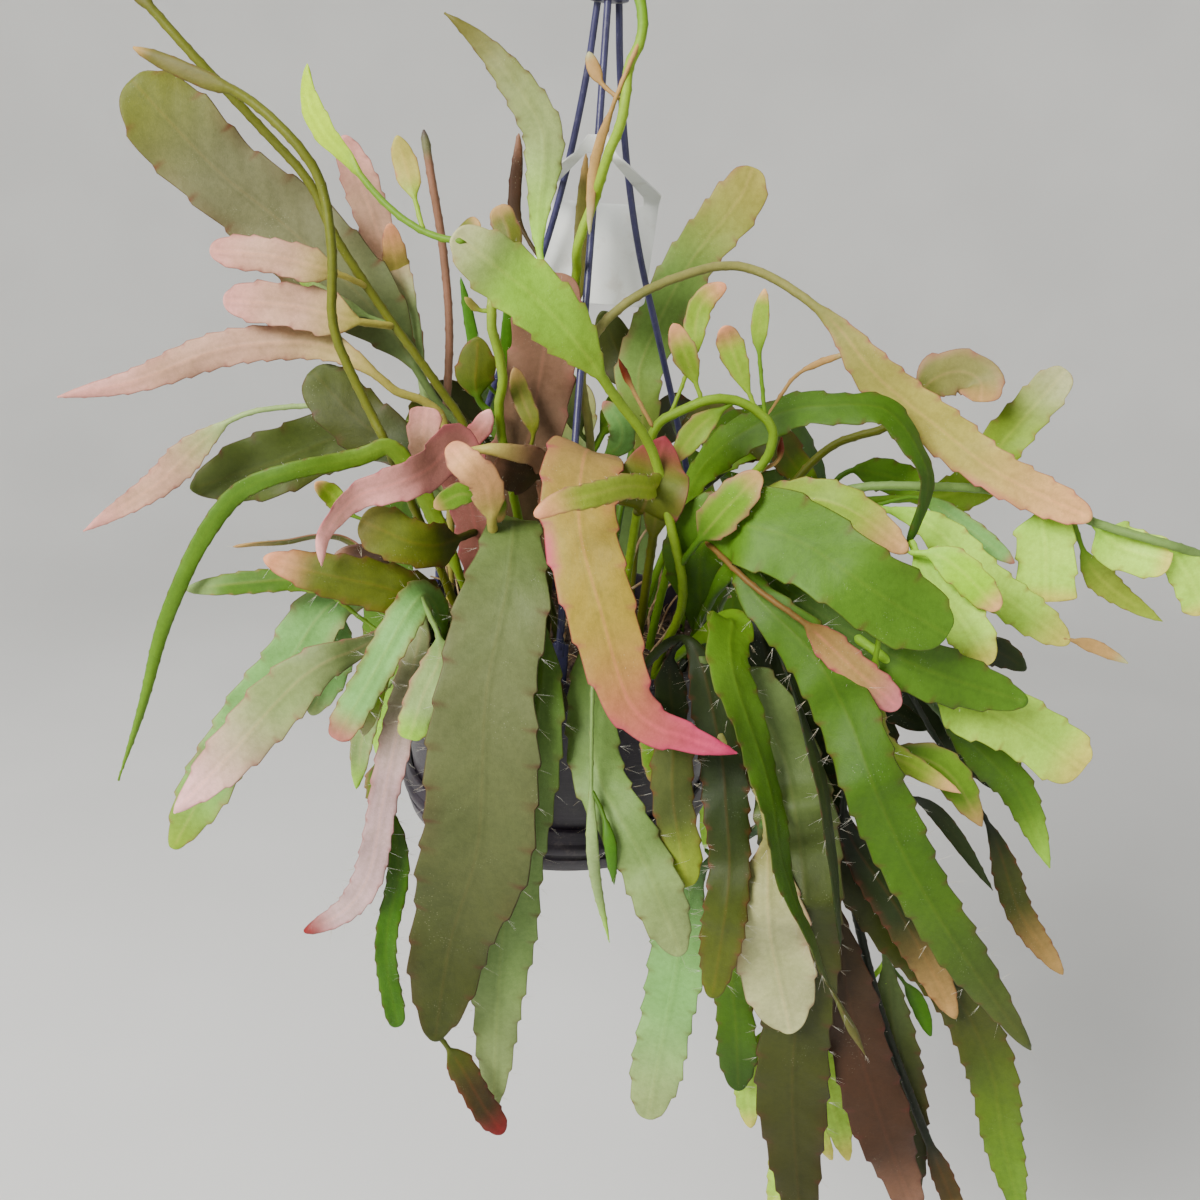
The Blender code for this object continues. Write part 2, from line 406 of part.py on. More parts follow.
shoot("great_pale", (-30, 16), "silver_green", 38, [(-45, 15, 70), (-65, 20, 90), (-90, 20, 125), (-115,
      15, 150), (-140, 15, 170), (-160, 10, 185), (-180, 5, 205), (-195, 5, 220)], neck=0.44, tip=2.7,
      full=0.3)
shoot("grey_pink_up", (-35, 27), "blush_mint", 17, [(-70, 20, 85), (-80, 30, 130), (-95, 40, 155), (-105,
      40, 180), (-115, 40, 205)], neck=0.62, tip=2.4)
shoot("tan_up", "grey_pink_up", "tan_pink", 12, [(-70, 30, 75), (-75, 25, 105), (-85, 25, 140), (-90, 20,
      170)], neck=0.25, tip=2.4)
shoot("grey_thin", "grey_pink_up", "mauve_brown", 4, [(-60, 35, 70), (-65, 40, 120), (-70, 45, 160), (-75,
      45, 185), (-80, 45, 210)], neck=0.9)
shoot("blush_long", (-56, 6), "blush", 17, [(-60, 0, 85), (-80, -5, 100), (-100, -10, 115), (-120, -10,
      120), (-155, -15, 115), (-190, -20, 100), (-225, -20, 90)], neck=0.45, tip=1.5)
shoot("dark_oval", "thin_wand", "deep_olive", 26, [(-70, -15, 70), (-80, -20, 80), (-95, -20, 90), (-115,
      -20, 110)], tip=2.6, full=0.25)
shoot("blush_narrow", "blush_long", "blush_mint", 15, [(-80, 5, 75), (-105, 0, 90), (-125, 0, 90), (-150,
      -5, 85), (-170, -5, 70), (-190, -5, 50), (-225, -5, 25)], neck=0.5, tip=1.3)
shoot("dark_back", "blush_long", "olive_deep", 32, [(-80, 20, 75), (-105, 20, 75), (-140, 15, 60), (-180,
      10, 45)], full=0.3)
shoot("mint_fork", "thin_wand", "lime_pink", 10, [(-85, -25, 40), (-95, -30, 50), (-105, -30, 60), (-110,
      -35, 65)], neck=0.55)
shoot("folded_pink", (-60, -24), "mint_pink_tip", 26, [(-60, -40, 20), (-65, -70, 20), (-80, -80, 10),
      (-95, -90, 5), (-110, -90, -10), (-130, -95, -35), (-155, -95, -65)], neck=0.32, tip=1.7, full=0.62,
      turn=(20, -10))
shoot("pale_broken", "folded_pink", "mint_yellow", 11, [(-75, -65, 10), (-105, -65, 30), (-130, -70, 30),
      (-155, -70, 25)], neck=0.25)
shoot("mint_low_left", (-66, -6), "glow_pink", 24, [(-75, -30, 15), (-100, -45, 15), (-120, -50, -15),
      (-140, -55, -45), (-170, -60, -105)], neck=0.15, tip=2.4, full=0.35)
shoot("mint_low_left_2", "mint_low_left", "grey_mint", 19, [(-95, -40, 15), (-100, -45, -10), (-110, -45,
      -40)], neck=0.1)
shoot("upper_right", (30, 34), "pale_blush", 25, [(30, 45, 75), (25, 50, 105), (30, 55, 125), (45, 60,
      160), (65, 60, 190), (70, 60, 205)], neck=0.3, tip=2.8)
shoot("olive_back", "upper_right", "deep_olive", 21, [(30, 50, 85), (15, 60, 115), (5, 60, 135)])
shoot("shade_1", "second_green", "shade_green", 31, [(75, -50, 45), (80, -65, 30), (90, -75, 5), (105,
      -80, -35), (115, -80, -80)], neck=0.1, tip=2.4, full=0.25)
shoot("shade_2", "second_green", "shade_green", 22, [(95, -60, 40), (115, -65, 15), (135, -70, -20), (145,
      -70, -65)], neck=0.1, tip=2.4)
shoot("shade_3", "second_green", "shade_green", 20, [(120, -60, 20), (150, -55, 0), (175, -55, -20), (195,
      -55, -45)])


def at(out, distance, side, aside, level):
    """A place so far out, aside and up from the rim's middle."""
    return out * distance + side * aside + np.array((0.0, 0.0, level))


def grow_back(taken):
    """The far side's clumps: by turns one that arches up and one that trails, each with a side shoot."""
    dice = random.Random(BACK_SEED)
    tints = ("green_deep", "lime_green", "olive_green", "mint", "pale_olive", "green_pink")
    for number in range(BACK_CLUMPS):
        share = number / (BACK_CLUMPS - 1)
        turn = math.radians(BACK_START + (BACK_END - BACK_START) * share + dice.uniform(-3, 3))
        out = np.array((math.cos(turn), math.sin(turn), 0.0))
        side = np.array((-out[1], out[0], 0.0))
        near = 40.0 + 18.0 * (number % 2)
        while any(math.hypot(out[0] * near - x, out[1] * near - y) < FOOT_SPACE for x, y in taken):
            near += 2.0
        foot = (round(out[0] * near), round(out[1] * near))
        taken.append(foot)
        name = "back_%02d" % (number + 1)
        trails = number % 2 == 1
        lean = dice.uniform(-16, 16)
        if trails:
            drop = dice.uniform(90, 190)
            places = [at(out, 82, side, 0, 62), at(out, 112, side, lean * 0.5, 48),
                      at(out, 132, side, lean, -20), at(out, 134, side, lean * 1.3, -drop)]
            wide = dice.uniform(24, 34)
            neck = 0.3
        else:
            rise = dice.uniform(66, 82)
            places = [at(out, 60, side, 0, 52), at(out, 84, side, lean * 0.5, rise),
                      at(out, 112, side, lean, rise + 2), at(out, 150, side, lean * 1.6, rise - 24)]
            wide = dice.uniform(22, 32)
            neck = 0.4
        turn = (dice.uniform(-25, 25), dice.uniform(-40, 40))
        shoot(name, foot, tints[number % len(tints)], wide, places, neck=neck, turn=turn)
        arm = side if lean < 0 else -side
        forks = [places[0], places[1] + at(out, 4, arm, 22, 6), places[1] + at(out, 14, arm, 27, 0),
                 places[1] + at(out, 26, arm, 37, -34 if trails else -16)]
        shoot(name + "_side", name, tints[(number + 2) % len(tints)], dice.uniform(18, 28), forks,
              neck=0.3, turn=(dice.uniform(-30, 30), 10))
        if trails:
            ends = [places[3], places[3] + at(out, 14, arm, 10, -22), places[3] + at(out, 18, arm, 18, -58)]
            shoot(name + "_end", name, tints[(number + 4) % len(tints)], dice.uniform(16, 24), ends,
                  neck=0.1, turn=(dice.uniform(-20, 20), 0))


def smooth_line(places, start=None):
    """A Catmull-Rom line through the places, leaving the first one along start."""
    before = places[0] - start if start is not None else 2 * places[0] - places[1]
    rows = [before] + list(places) + [2 * places[-1] - places[-2]]
    line = []
    for a, b, c, d in zip(rows, rows[1:], rows[2:], rows[3:]):
        for t in np.linspace(0, 1, 12, endpoint=False):
            line.append(0.5 * (2 * b + (c - a) * t + (2 * a - 5 * b + 4 * c - d) * t * t
                               + (3 * b - a - 3 * c + d) * t ** 3))
    line.append(places[-1])
    return np.array(line)


def lengths(line):
    """How far along the line each of its points lies."""
    steps = np.linalg.norm(np.diff(line, axis=0), axis=1)
    return np.concatenate(([0.0], np.cumsum(steps)))


def resample(line, along):
    """Points of the line at the fractions in along of its length."""
    run = lengths(line)
    return np.stack([np.interp(along * run[-1], run, line[:, axis]) for axis in range(3)], axis=1)


def parents_first(stems):
    """The stems in an order in which each follows the one it grows from."""
    done = {None}
    waiting = list(stems)
    while waiting:
        stem = waiting.pop(0)
        if stem.parent in done:
            done.add(stem.name)
            yield stem
        else:
            waiting.append(stem)


def lay_out(stems, by_name):
    """Gives every stem its first rib line; a side shoot starts on its parent's rib."""
    for stem in parents_first(stems):
        if stem.parent:
            parent = by_name[stem.parent]
            stem.join = int(np.argmin(np.linalg.norm(parent.line - stem.places[0], axis=1)))
            line = smooth_line([parent.line[stem.join]] + stem.places[1:])
        else:
            top = np.array((stem.foot[0], stem.foot[1], SOIL_LEVEL + 4.0))
            line = smooth_line([top] + stem.places, start=np.array((0.0, 0.0, 40.0)))
        count = max(6, int(round(lengths(line)[-1] / STEP)))
        stem.line = resample(line, np.linspace(0, 1, count + 1))


def neck_radius(stem):
    """The round part's radius: a small side shoot has a thinner neck than a long or a rooted one."""
    if stem.parent is None or stem.neck >= LONG_NECK:
        return NECK_RADIUS
    return min(NECK_RADIUS, max(THIN_NECK, stem.wide * NECK_SHARE))


def half_width(stem, along):
    """Half the blade's width at a fraction of the stem's length."""
    neck = neck_radius(stem)
    blade = (along - stem.neck) / (1 - stem.neck) if stem.neck < 1 else 0
    if blade <= 0:
        return neck
    full = stem.full
    start = 0.3 + 0.35 * (stem.tip - 1.2)
    power = 0.9 - 0.33 * (stem.tip - 1.2)
    rise = 1.0 if blade > full else (blade / full) ** 1.5 * (2.5 - 1.5 * blade / full)
    fall = 1.0 if blade < start else max(0.0, 1 - ((blade - start) / (1 - start)) ** 1.8) ** power
    least = neck * (1.0 if blade < 0.5 else max(0.25, fall))
    return max(stem.wide / 2 * rise * fall, least)


def directions(line):
    """The way the line runs at each of its points."""
    ahead = np.vstack((line[1:], line[-1:] * 2 - line[-2:-1]))
    behind = np.vstack((line[:1] * 2 - line[1:2], line[:-1]))
    run = ahead - behind
    return run / np.linalg.norm(run, axis=1, keepdims=True)


def frames(stem, line, along):
    """The blade's side and face directions along a line: it faces the view, but for its turn."""
    run = directions(line)
    faces = np.zeros_like(line)
    last = None
    for index in range(len(line) - 1, -1, -1):
        sight = VIEW_FROM - line[index]
        sight = sight / np.linalg.norm(sight)
        sight = sight - run[index] * sight.dot(run[index])
        if last is not None:
            if sight.dot(last) < 0:
                sight = -sight
            sight = sight + 0.6 * last
            sight = sight - run[index] * sight.dot(run[index])
        last = sight / max(1e-6, np.linalg.norm(sight))
        faces[index] = last
    angle = np.radians(stem.turn[0] + (stem.turn[1] - stem.turn[0]) * along)[:, None]
    sides = np.cross(run, faces)
    turned_sides = sides * np.cos(angle) + faces * np.sin(angle)
    return turned_sides, np.cross(turned_sides, run)


def sample_points(stems, fixed):
    """Points over every blade and on what stays put, with the ring and the stem each belongs to."""
    points, rings, owners = [], [], []
    ring = 0
    for number, stem in enumerate(stems):
        along = np.linspace(0, 1, len(stem.line))
        sides, _ = frames(stem, stem.line, along)
        stem.first = ring
        for index, centre in enumerate(stem.line):
            half = half_width(stem, along[index])
            count = 1 + 2 * int(math.ceil(max(0.0, half - 2.5) / STEP))
            for reach in np.linspace(-half, half, count) if count > 1 else (0.0,):
                points.append(centre + sides[index] * reach)
                rings.append(ring)
                owners.append(number)
            ring += 1
    for centre in fixed:
        points.append(np.array(centre, float))
        rings.append(ring)
        owners.append(-1)
        ring += 1
    return np.array(points), rings, owners, ring


def crossings(points, rings, owners, related):
    """Pairs of rings that lie over one another in the view, with how far the second lies behind."""
    away = points - VIEW_FROM
    depth = np.linalg.norm(away, axis=1)
    seen = away / depth[:, None]
    tree = KDTree(len(points))
    for index, place in enumerate(seen):
        tree.insert(place, index)
    tree.balance()
    found = {}
    for index in range(len(points)):
        for _, other, _ in tree.find_range(seen[index], REACH / depth[index]):
            if other <= index or owners[other] == owners[index]:
                continue
            space = depth[other] - depth[index]
            pair = (rings[index], rings[other])
            if related(*pair) or abs(space) > FAR_APART:
                continue
            least, most = found.get(pair, (space, space))
            found[pair] = (min(least, space), max(most, space))
    return found


def settle(stems, fixed):
    """Bends stems clear of each other along the line of sight; earlier stems stay in front."""
    by_name = {stem.name: stem for stem in stems}
    lay_out(stems, by_name)
    points, rings, owners, total = sample_points(stems, fixed)
    ring_owner = np.full(total, -1)
    ring_step = np.zeros(total, int)
    for number, stem in enumerate(stems):
        ring_owner[stem.first:stem.first + len(stem.line)] = number
        ring_step[stem.first:stem.first + len(stem.line)] = np.arange(len(stem.line))

    def related(a, b):
        """True where a side shoot is still leaving its parent, or two leave it side by side."""
        if ring_owner[a] < 0 or ring_owner[b] < 0:
            return False
        one, two = stems[ring_owner[a]], stems[ring_owner[b]]
        if two.parent == one.name:
            return ring_step[b] < 5
        if one.parent == two.name:
            return ring_step[a] < 5
        return one.parent is not None and one.parent == two.parent and max(ring_step[a], ring_step[b]) < 4

    front, back, needed = [], [], []
    for (a, b), (least, most) in crossings(points, rings, owners, related).items():
        middle = (least + most) / 2
        fixed_pair = ring_owner[a] < 0 or ring_owner[b] < 0
        swapped = middle < (0.0 if fixed_pair else -SWAP_DEPTH)
        front.append(b if swapped else a)
        back.append(a if swapped else b)
        needed.append(SPACING + most if swapped else SPACING - least)
    moves = spread(stems, by_name, ring_owner >= 0, np.array(front), np.array(back), np.array(needed))
    for stem in stems:
        sight = stem.line - VIEW_FROM
        sight = sight / np.linalg.norm(sight, axis=1, keepdims=True)
        stem.line = stem.line + sight * moves[stem.first:stem.first + len(stem.line), None]
    for stem in stems:
        if stem.parent:
            stem.line[0] = by_name[stem.parent].line[stem.join]
        else:
            stem.line[0] = np.array((stem.foot[0], stem.foot[1], SOIL_LEVEL + 4.0))


def spread(stems, by_name, loose, front, back, needed):
    """How far each ring moves away from the view, so that each pair ends up the needed space apart."""
    moves = np.zeros(len(loose))
    for stem in stems:
        if stem.parent is None:
            loose[stem.first:stem.first + 2] = False
    share_front = np.where(loose[front], 1.0, 0.0)
    share_back = np.where(loose[back], 1.0, 0.0)
    both = np.maximum(1.0, share_front + share_back)
    for turn in range(ROUNDS):
        lack = np.maximum(0.0, needed - (moves[back] - moves[front]))
        push_back = np.zeros(len(moves))
        push_front = np.zeros(len(moves))
        np.maximum.at(push_back, back, lack * share_back / both)
        np.maximum.at(push_front, front, lack * share_front / both)
        moves += 0.7 * (push_back - push_front)
        for stem in stems:
            part = moves[stem.first:stem.first + len(stem.line)]
            if stem.parent:
                part[0] = moves[by_name[stem.parent].first + stem.join]
            else:
                part[:2] = 0.0
            for _ in range(3 if turn < ROUNDS - LAST_ROUNDS else 1):
                part[1:-1] = 0.5 * part[1:-1] + 0.25 * (part[:-2] + part[2:])
                part[-1] = 0.5 * part[-1] + 0.5 * part[-2]
    return moves


def pot_radius(level):
    """How far out the pot or its saucer reaches at a height."""
    if level > -RIM_BAND:
        return RIM_RADIUS
    if level < SAUCER_TOP:
        return SAUCER_BEAD_RADIUS
    share = (level + RIM_BAND) / (SAUCER_TOP + RIM_BAND)
    return SHOULDER_RADIUS + (SAUCER_LINE_RADIUS - SHOULDER_RADIUS) * share


def place_fixed():
    """Points on the strands, the tag and the front of the pot, which the stems bend clear of."""
    places = []
    for heading in STRAND_HEADINGS.values():
        places += [tuple(point) for point in strand_line(heading)[::2]]
    for run in np.linspace(0, TAG_BAND + TAG_SLOPE + TAG_BODY, 18):
        y, z = tag_bend(run)
        outer, inner = tag_row(run)
        places += [(side, y, z) for side in np.linspace(-outer, outer, 13) if abs(side) >= inner]
    for level in np.arange(-92.0, 1.0, 5.0):
        radius = pot_radius(level) + 2.0
        for angle in np.arange(-180.0, 1.0, 4.0):
            turn = math.radians(angle)
            places.append((radius * math.cos(turn), radius * math.sin(turn), level))
    return places


def material(name, colour, roughness):
    made = bpy.data.materials.new(name)
    made.use_nodes = True
    shader = made.node_tree.nodes["Principled BSDF"]
    shader.inputs["Base Color"].default_value = (*colour, 1.0)
    shader.inputs["Roughness"].default_value = roughness
    shader.inputs["Metallic"].default_value = 0.0
    made.diffuse_color = (*colour, 1.0)
    return made


def to_object(name, shape, look, smooth=35.0):
    """An object from a bmesh in pot millimetres, hung under the world's origin."""
    mesh = bpy.data.meshes.new(name)
    bmesh.ops.recalc_face_normals(shape, faces=shape.faces)
    shape.to_mesh(mesh)
    shape.free()
    mesh.transform(Matrix.Diagonal((MM, MM, MM, 1.0)) @ Matrix.Translation((0, 0, -HANG_HEIGHT)))
    mesh.shade_smooth()
    mesh.set_sharp_from_angle(angle=math.radians(smooth))
    made = bpy.data.objects.new(name, mesh)
    made.data.materials.append(look)
    bpy.context.collection.objects.link(made)
    return made


def turned(profile, sides=TURNED_SIDES, lump=None):
    """A closed profile of (radius, height) turned about the pot's axis; radius 0 closes it."""
    shape = bmesh.new()
    rings = []
    for number, (radius, height) in enumerate(profile):
        if radius == 0:
            rings.append([shape.verts.new((0, 0, height))] * sides)
            continue
        ring = []
        for step in range(sides):
            angle = 2 * math.pi * step / sides
            rise = lump(number) if lump else 0.0
            ring.append(shape.verts.new((radius * math.cos(angle), radius * math.sin(angle), height + rise)))
        rings.append(ring)
    pairs = list(zip(rings, rings[1:]))
    if profile[0][0] > 0:
        pairs.append((rings[-1], rings[0]))
    for low, high in pairs:
        for step in range(sides):
            after = (step + 1) % sides
            face = []
            for corner in (low[step], low[after], high[after], high[step]):
                if corner not in face:
                    face.append(corner)
            shape.faces.new(face)
    return shape


def gather(name, items):
    """A collection that holds the items and nothing else."""
    group = bpy.data.collections.new(name)
    bpy.context.scene.collection.children.link(group)
    for item in items:
        for owner in list(item.users_collection):
            owner.objects.unlink(item)
        group.objects.link(item)
    return group


def combine(target, items, operation="DIFFERENCE", solver="EXACT"):
    """One applied Boolean of the target with all the items, which are then removed."""
    group = gather(target.name + "_cutters", items)
    change = target.modifiers.new("combine", "BOOLEAN")
    change.solver = solver
    change.operation = operation
    change.operand_type = "COLLECTION"
    change.collection = group
    bpy.context.view_layer.update()
    result = bpy.data.meshes.new_from_object(target.evaluated_get(bpy.context.evaluated_depsgraph_get()))
    target.modifiers.clear()
    old = target.data
    target.data = result
    bpy.data.meshes.remove(old)
    for item in items:
        bpy.data.objects.remove(item, do_unlink=True)
    bpy.data.collections.remove(group)


def block(name, size, centre, heading):
    """A plain box in pot millimetres, turned about the pot's axis."""
    shape = bmesh.new()
    bmesh.ops.create_cube(shape, size=1.0)
    bmesh.ops.scale(shape, vec=size, verts=shape.verts)
    bmesh.ops.translate(shape, vec=centre, verts=shape.verts)
    bmesh.ops.rotate(shape, cent=(0, 0, 0), matrix=Matrix.Rotation(math.radians(heading), 3, "Z"),
                     verts=shape.verts)
    return to_object(name, shape, LOOKS["pot"])


def cylinder(name, radius, low, high, centre, sides):
    shape = bmesh.new()
    bmesh.ops.create_cone(shape, cap_ends=True, segments=sides, radius1=radius, radius2=radius,
                          depth=high - low)
    bmesh.ops.translate(shape, vec=(centre[0], centre[1], (low + high) / 2), verts=shape.verts)
    return to_object(name, shape, LOOKS["pot"])


def make_pot():
    """The shell: rim band, tapered wall and a floor with drains, and a slot for each clip."""
    foot = POT_BASE_RADIUS + FOOT_ROUND
    inside = RIM_RADIUS - RIM_WALL
    under_band = -RIM_BAND - 0.6
    profile = [(DRAIN_RADIUS, POT_BASE), (POT_BASE_RADIUS, POT_BASE), (foot, POT_BASE + 3.5),
               (SAUCER_LINE_RADIUS, SAUCER_TOP), (SHOULDER_RADIUS, under_band),
               (RIM_RADIUS - 0.7, -RIM_BAND), (RIM_RADIUS, -RIM_BAND + 0.8), (RIM_RADIUS, -1.0),
               (RIM_RADIUS - 0.8, 0.0), (inside + 0.6, 0.0), (inside, -0.8), (inside, -RIM_BAND + 2.0),
               (SHOULDER_RADIUS - WALL, under_band), (SAUCER_LINE_RADIUS - WALL, SAUCER_TOP),
               (foot - WALL, POT_BASE + 3.8), (POT_BASE_RADIUS - 1.2, POT_BASE + WALL),
               (DRAIN_RADIUS, POT_BASE + WALL)]
    pot = to_object("pot", turned(profile), LOOKS["pot"])
    cutters = []
    for number in range(SIDE_DRAIN_COUNT):
        angle = 2 * math.pi * (number + 0.5) / SIDE_DRAIN_COUNT
        centre = (SIDE_DRAIN_CIRCLE * math.cos(angle), SIDE_DRAIN_CIRCLE * math.sin(angle))
        cutters.append(cylinder("drain", SIDE_DRAIN_RADIUS, POT_BASE - 2, POT_BASE + 4, centre, 8))
    for heading in STRAND_HEADINGS.values():
        size = (10.0, NUB_WIDTH + 2 * GAP, NUB_HIGH + 2 * GAP)
        cutters.append(block("slot", size, (RIM_RADIUS - 2, 0, NUB_LEVEL), heading))
    combine(pot, cutters)


def make_saucer():
    """The saucer: a dished floor and a low wall with a groove and a bead, close round the pot's foot."""
    inside = SAUCER_LINE_RADIUS + 0.5
    groove = SAUCER_BASE + 8.7
    bead = SAUCER_BASE + 11.4
    profile = [(SAUCER_HOLE_RADIUS, SAUCER_BASE + 1.4), (58.0, SAUCER_BASE + 1.4), (59.0, SAUCER_BASE),
               (SAUCER_FOOT_RADIUS, SAUCER_BASE), (SAUCER_FOOT_RADIUS + 4.0, SAUCER_BASE + 2.0),
               (SAUCER_RADIUS - 0.2, groove - 0.7), (SAUCER_GROOVE_RADIUS, groove),
               (SAUCER_GROOVE_RADIUS, groove + 1.9), (SAUCER_BEAD_RADIUS, bead),
               (SAUCER_BEAD_RADIUS, bead + 3.6), (SAUCER_RADIUS, bead + 4.6),
               (SAUCER_RADIUS, SAUCER_TOP - 0.5), (SAUCER_RADIUS - 0.7, SAUCER_TOP), (inside, SAUCER_TOP),
               (inside - 0.4, SAUCER_TOP - 8.0), (POT_BASE_RADIUS + 3.2, POT_BASE + 3.0),
               (POT_BASE_RADIUS + 0.8, POT_BASE - GAP), (SAUCER_HOLE_RADIUS, POT_BASE - GAP)]
    to_object("saucer", turned(profile), LOOKS["pot"])


def make_soil(feet):
    """The soil: it fills the pot to just under the rim, lumpy on top, with a plain hole for each stem."""
    dice = random.Random(5)
    facet = math.cos(math.pi / TURNED_SIDES)
    shoulder = (SHOULDER_RADIUS - WALL) * facet - GAP
    line = (SAUCER_LINE_RADIUS - WALL) * facet - GAP
    base = POT_BASE + WALL + GAP
    profile = [(0, base), (POT_BASE_RADIUS - 3.0, base), (POT_BASE_RADIUS - 1.0, base + 3.0),
               (line - 0.2, SAUCER_TOP), (shoulder - 0.2, -RIM_BAND - 1.5), (shoulder, SOIL_LEVEL - 2.0),
               (62.0, SOIL_LEVEL), (45.0, SOIL_LEVEL + 1.0), (25.0, SOIL_LEVEL + 1.5), (0, SOIL_LEVEL + 2.0)]

    def lump(number):
        return dice.uniform(-SOIL_LUMP, SOIL_LUMP) if number > 5 else 0.0

    soil = to_object("soil", turned(profile, SOIL_SIDES, lump), LOOKS["soil"], 60.0)
    holes = []
    for foot in feet:
        holes.append(cylinder("hole", HOLE_RADIUS, SOIL_LEVEL - ROOT_DEPTH - GAP, SOIL_LEVEL + 8, foot, 6))
    combine(soil, holes)


def strand_line(heading):
    """Points down one strand, from the collar to its clip."""
    turn = math.radians(heading)
    places = [np.array((radius * math.cos(turn), radius * math.sin(turn), level))
              for radius, level in STRAND_POINTS]
    return resample(smooth_line(places), np.linspace(0, 1, 17))


def tube(name, places, radius, look):
    """A round rod along the places, with flat ends."""
    curve = bpy.data.curves.new(name, "CURVE")
    curve.dimensions = "3D"
    curve.bevel_depth = radius * MM
    curve.bevel_resolution = 2
    curve.use_fill_caps = True
    path = curve.splines.new("POLY")
    path.points.add(len(places) - 1)
    for point, place in zip(path.points, places):
        point.co = (place[0] * MM, place[1] * MM, (place[2] - HANG_HEIGHT) * MM, 1.0)
    drawn = bpy.data.objects.new(name, curve)
    bpy.context.collection.objects.link(drawn)
    bpy.context.view_layer.update()
    mesh = bpy.data.meshes.new_from_object(drawn.evaluated_get(bpy.context.evaluated_depsgraph_get()))
    bpy.data.objects.remove(drawn)
    rod = bpy.data.objects.new(name, mesh)
    rod.data.materials.clear()
    rod.data.materials.append(look)
    bpy.context.collection.objects.link(rod)
    return rod


def make_strand(side, heading):
    """A strand with the flat clip it ends in, whose nub sits in a slot of the rim."""
    strand = tube("hanger_strand_" + side, strand_line(heading), STRAND_RADIUS, LOOKS["strand"])
    reach = (RIM_RADIUS - RIM_WALL) * math.cos(math.pi / TURNED_SIDES) - GAP - 0.1
    bar = block("bar", (CLIP_THICK, CLIP_WIDTH, CLIP_TOP - CLIP_FOOT),
                (reach - CLIP_THICK / 2, 0, (CLIP_TOP + CLIP_FOOT) / 2), heading)
    nub = block("nub", (RIM_WALL + 1.0, NUB_WIDTH, NUB_HIGH), (reach + RIM_WALL / 2 - 0.4, 0, NUB_LEVEL),
                heading)
    combine(strand, [bar, nub], "UNION")


def make_hook():
    """The collar that the strands meet in, and the hook above it, whose inside top is the origin."""
    profile = [(0, COLLAR_BOTTOM), (COLLAR_RADIUS - 1.0, COLLAR_BOTTOM), (COLLAR_RADIUS, COLLAR_BOTTOM + 1.0),
               (COLLAR_RADIUS, COLLAR_BOTTOM + 9.0), (COLLAR_RADIUS - 3.0, COLLAR_TOP - 4.0),
               (COLLAR_RADIUS - 4.5, COLLAR_TOP), (0, COLLAR_TOP)]
    hook = to_object("hanger_hook", turned(profile, COLLAR_SIDES), LOOKS["strand"])
    centre = HANG_HEIGHT - (HOOK_RADIUS - HOOK_TUBE)
    places = [(0, 0, COLLAR_TOP - 4.0), (1.5, 0, COLLAR_TOP + 0.5), (HOOK_RADIUS * 0.72, 0, COLLAR_TOP + 6.0)]
    for step in range(13):
        angle = math.radians(-15 + 200 * step / 12)
        places.append((HOOK_RADIUS * math.cos(angle), 0, centre + HOOK_RADIUS * math.sin(angle)))
    places.append((-HOOK_RADIUS - 0.6, 0, centre - 5.0))
    places.append((-HOOK_RADIUS - 2.8, 0, centre - 8.5))
    line = resample(smooth_line([np.array(place, float) for place in places]), np.linspace(0, 1, 16))
    combine(hook, [tube("arc", line, HOOK_TUBE, LOOKS["strand"])], "UNION")


def strand_radius(level):
    """How far out the strands run at a height."""
    levels = [level for _, level in reversed(STRAND_POINTS)]
    return float(np.interp(level, levels, [radius for radius, _ in reversed(STRAND_POINTS)]))


def tag_bend(run):
    """Where the tag lies, front to back and in height, at a distance down from its top."""
    front = -(strand_radius(TAG_TOP - 12.0) + STRAND_RADIUS + GAP + TAG_THICK / 2)
    if run <= TAG_BAND:
        return front, TAG_TOP - run
    share = min(1.0, (run - TAG_BAND) / TAG_SLOPE)
    eased = share * share * (3 - 2 * share)
    drop = math.sqrt(TAG_SLOPE ** 2 - (TAG_BACK - front) ** 2)
    z = TAG_TOP - TAG_BAND - drop * share - max(0.0, run - TAG_BAND - TAG_SLOPE)
    return front + (TAG_BACK - front) * eased, z


def tag_row(run):
    """Half the tag's width, and half its window's, at a distance down from its top."""
    shoulder = TAG_BAND + TAG_SLOPE * 0.75
    foot = TAG_BAND + TAG_SLOPE + TAG_BODY
    if run < shoulder:
        outer = TAG_NARROW + (TAG_WIDTH / 2 - TAG_NARROW) * run / shoulder
    else:
        outer = TAG_WIDTH / 2 - 3.5 * (run - shoulder) / (foot - shoulder)
    inner = 0.0
    if TAG_BAND <= run < TAG_BAND + TAG_SLOPE + 0.1:
        open_share = min(1.0, (run - TAG_BAND) / (shoulder - TAG_BAND + 3.0))
        inner = TAG_NARROW + (TAG_WINDOW / 2 - TAG_NARROW) * open_share
    return outer, inner


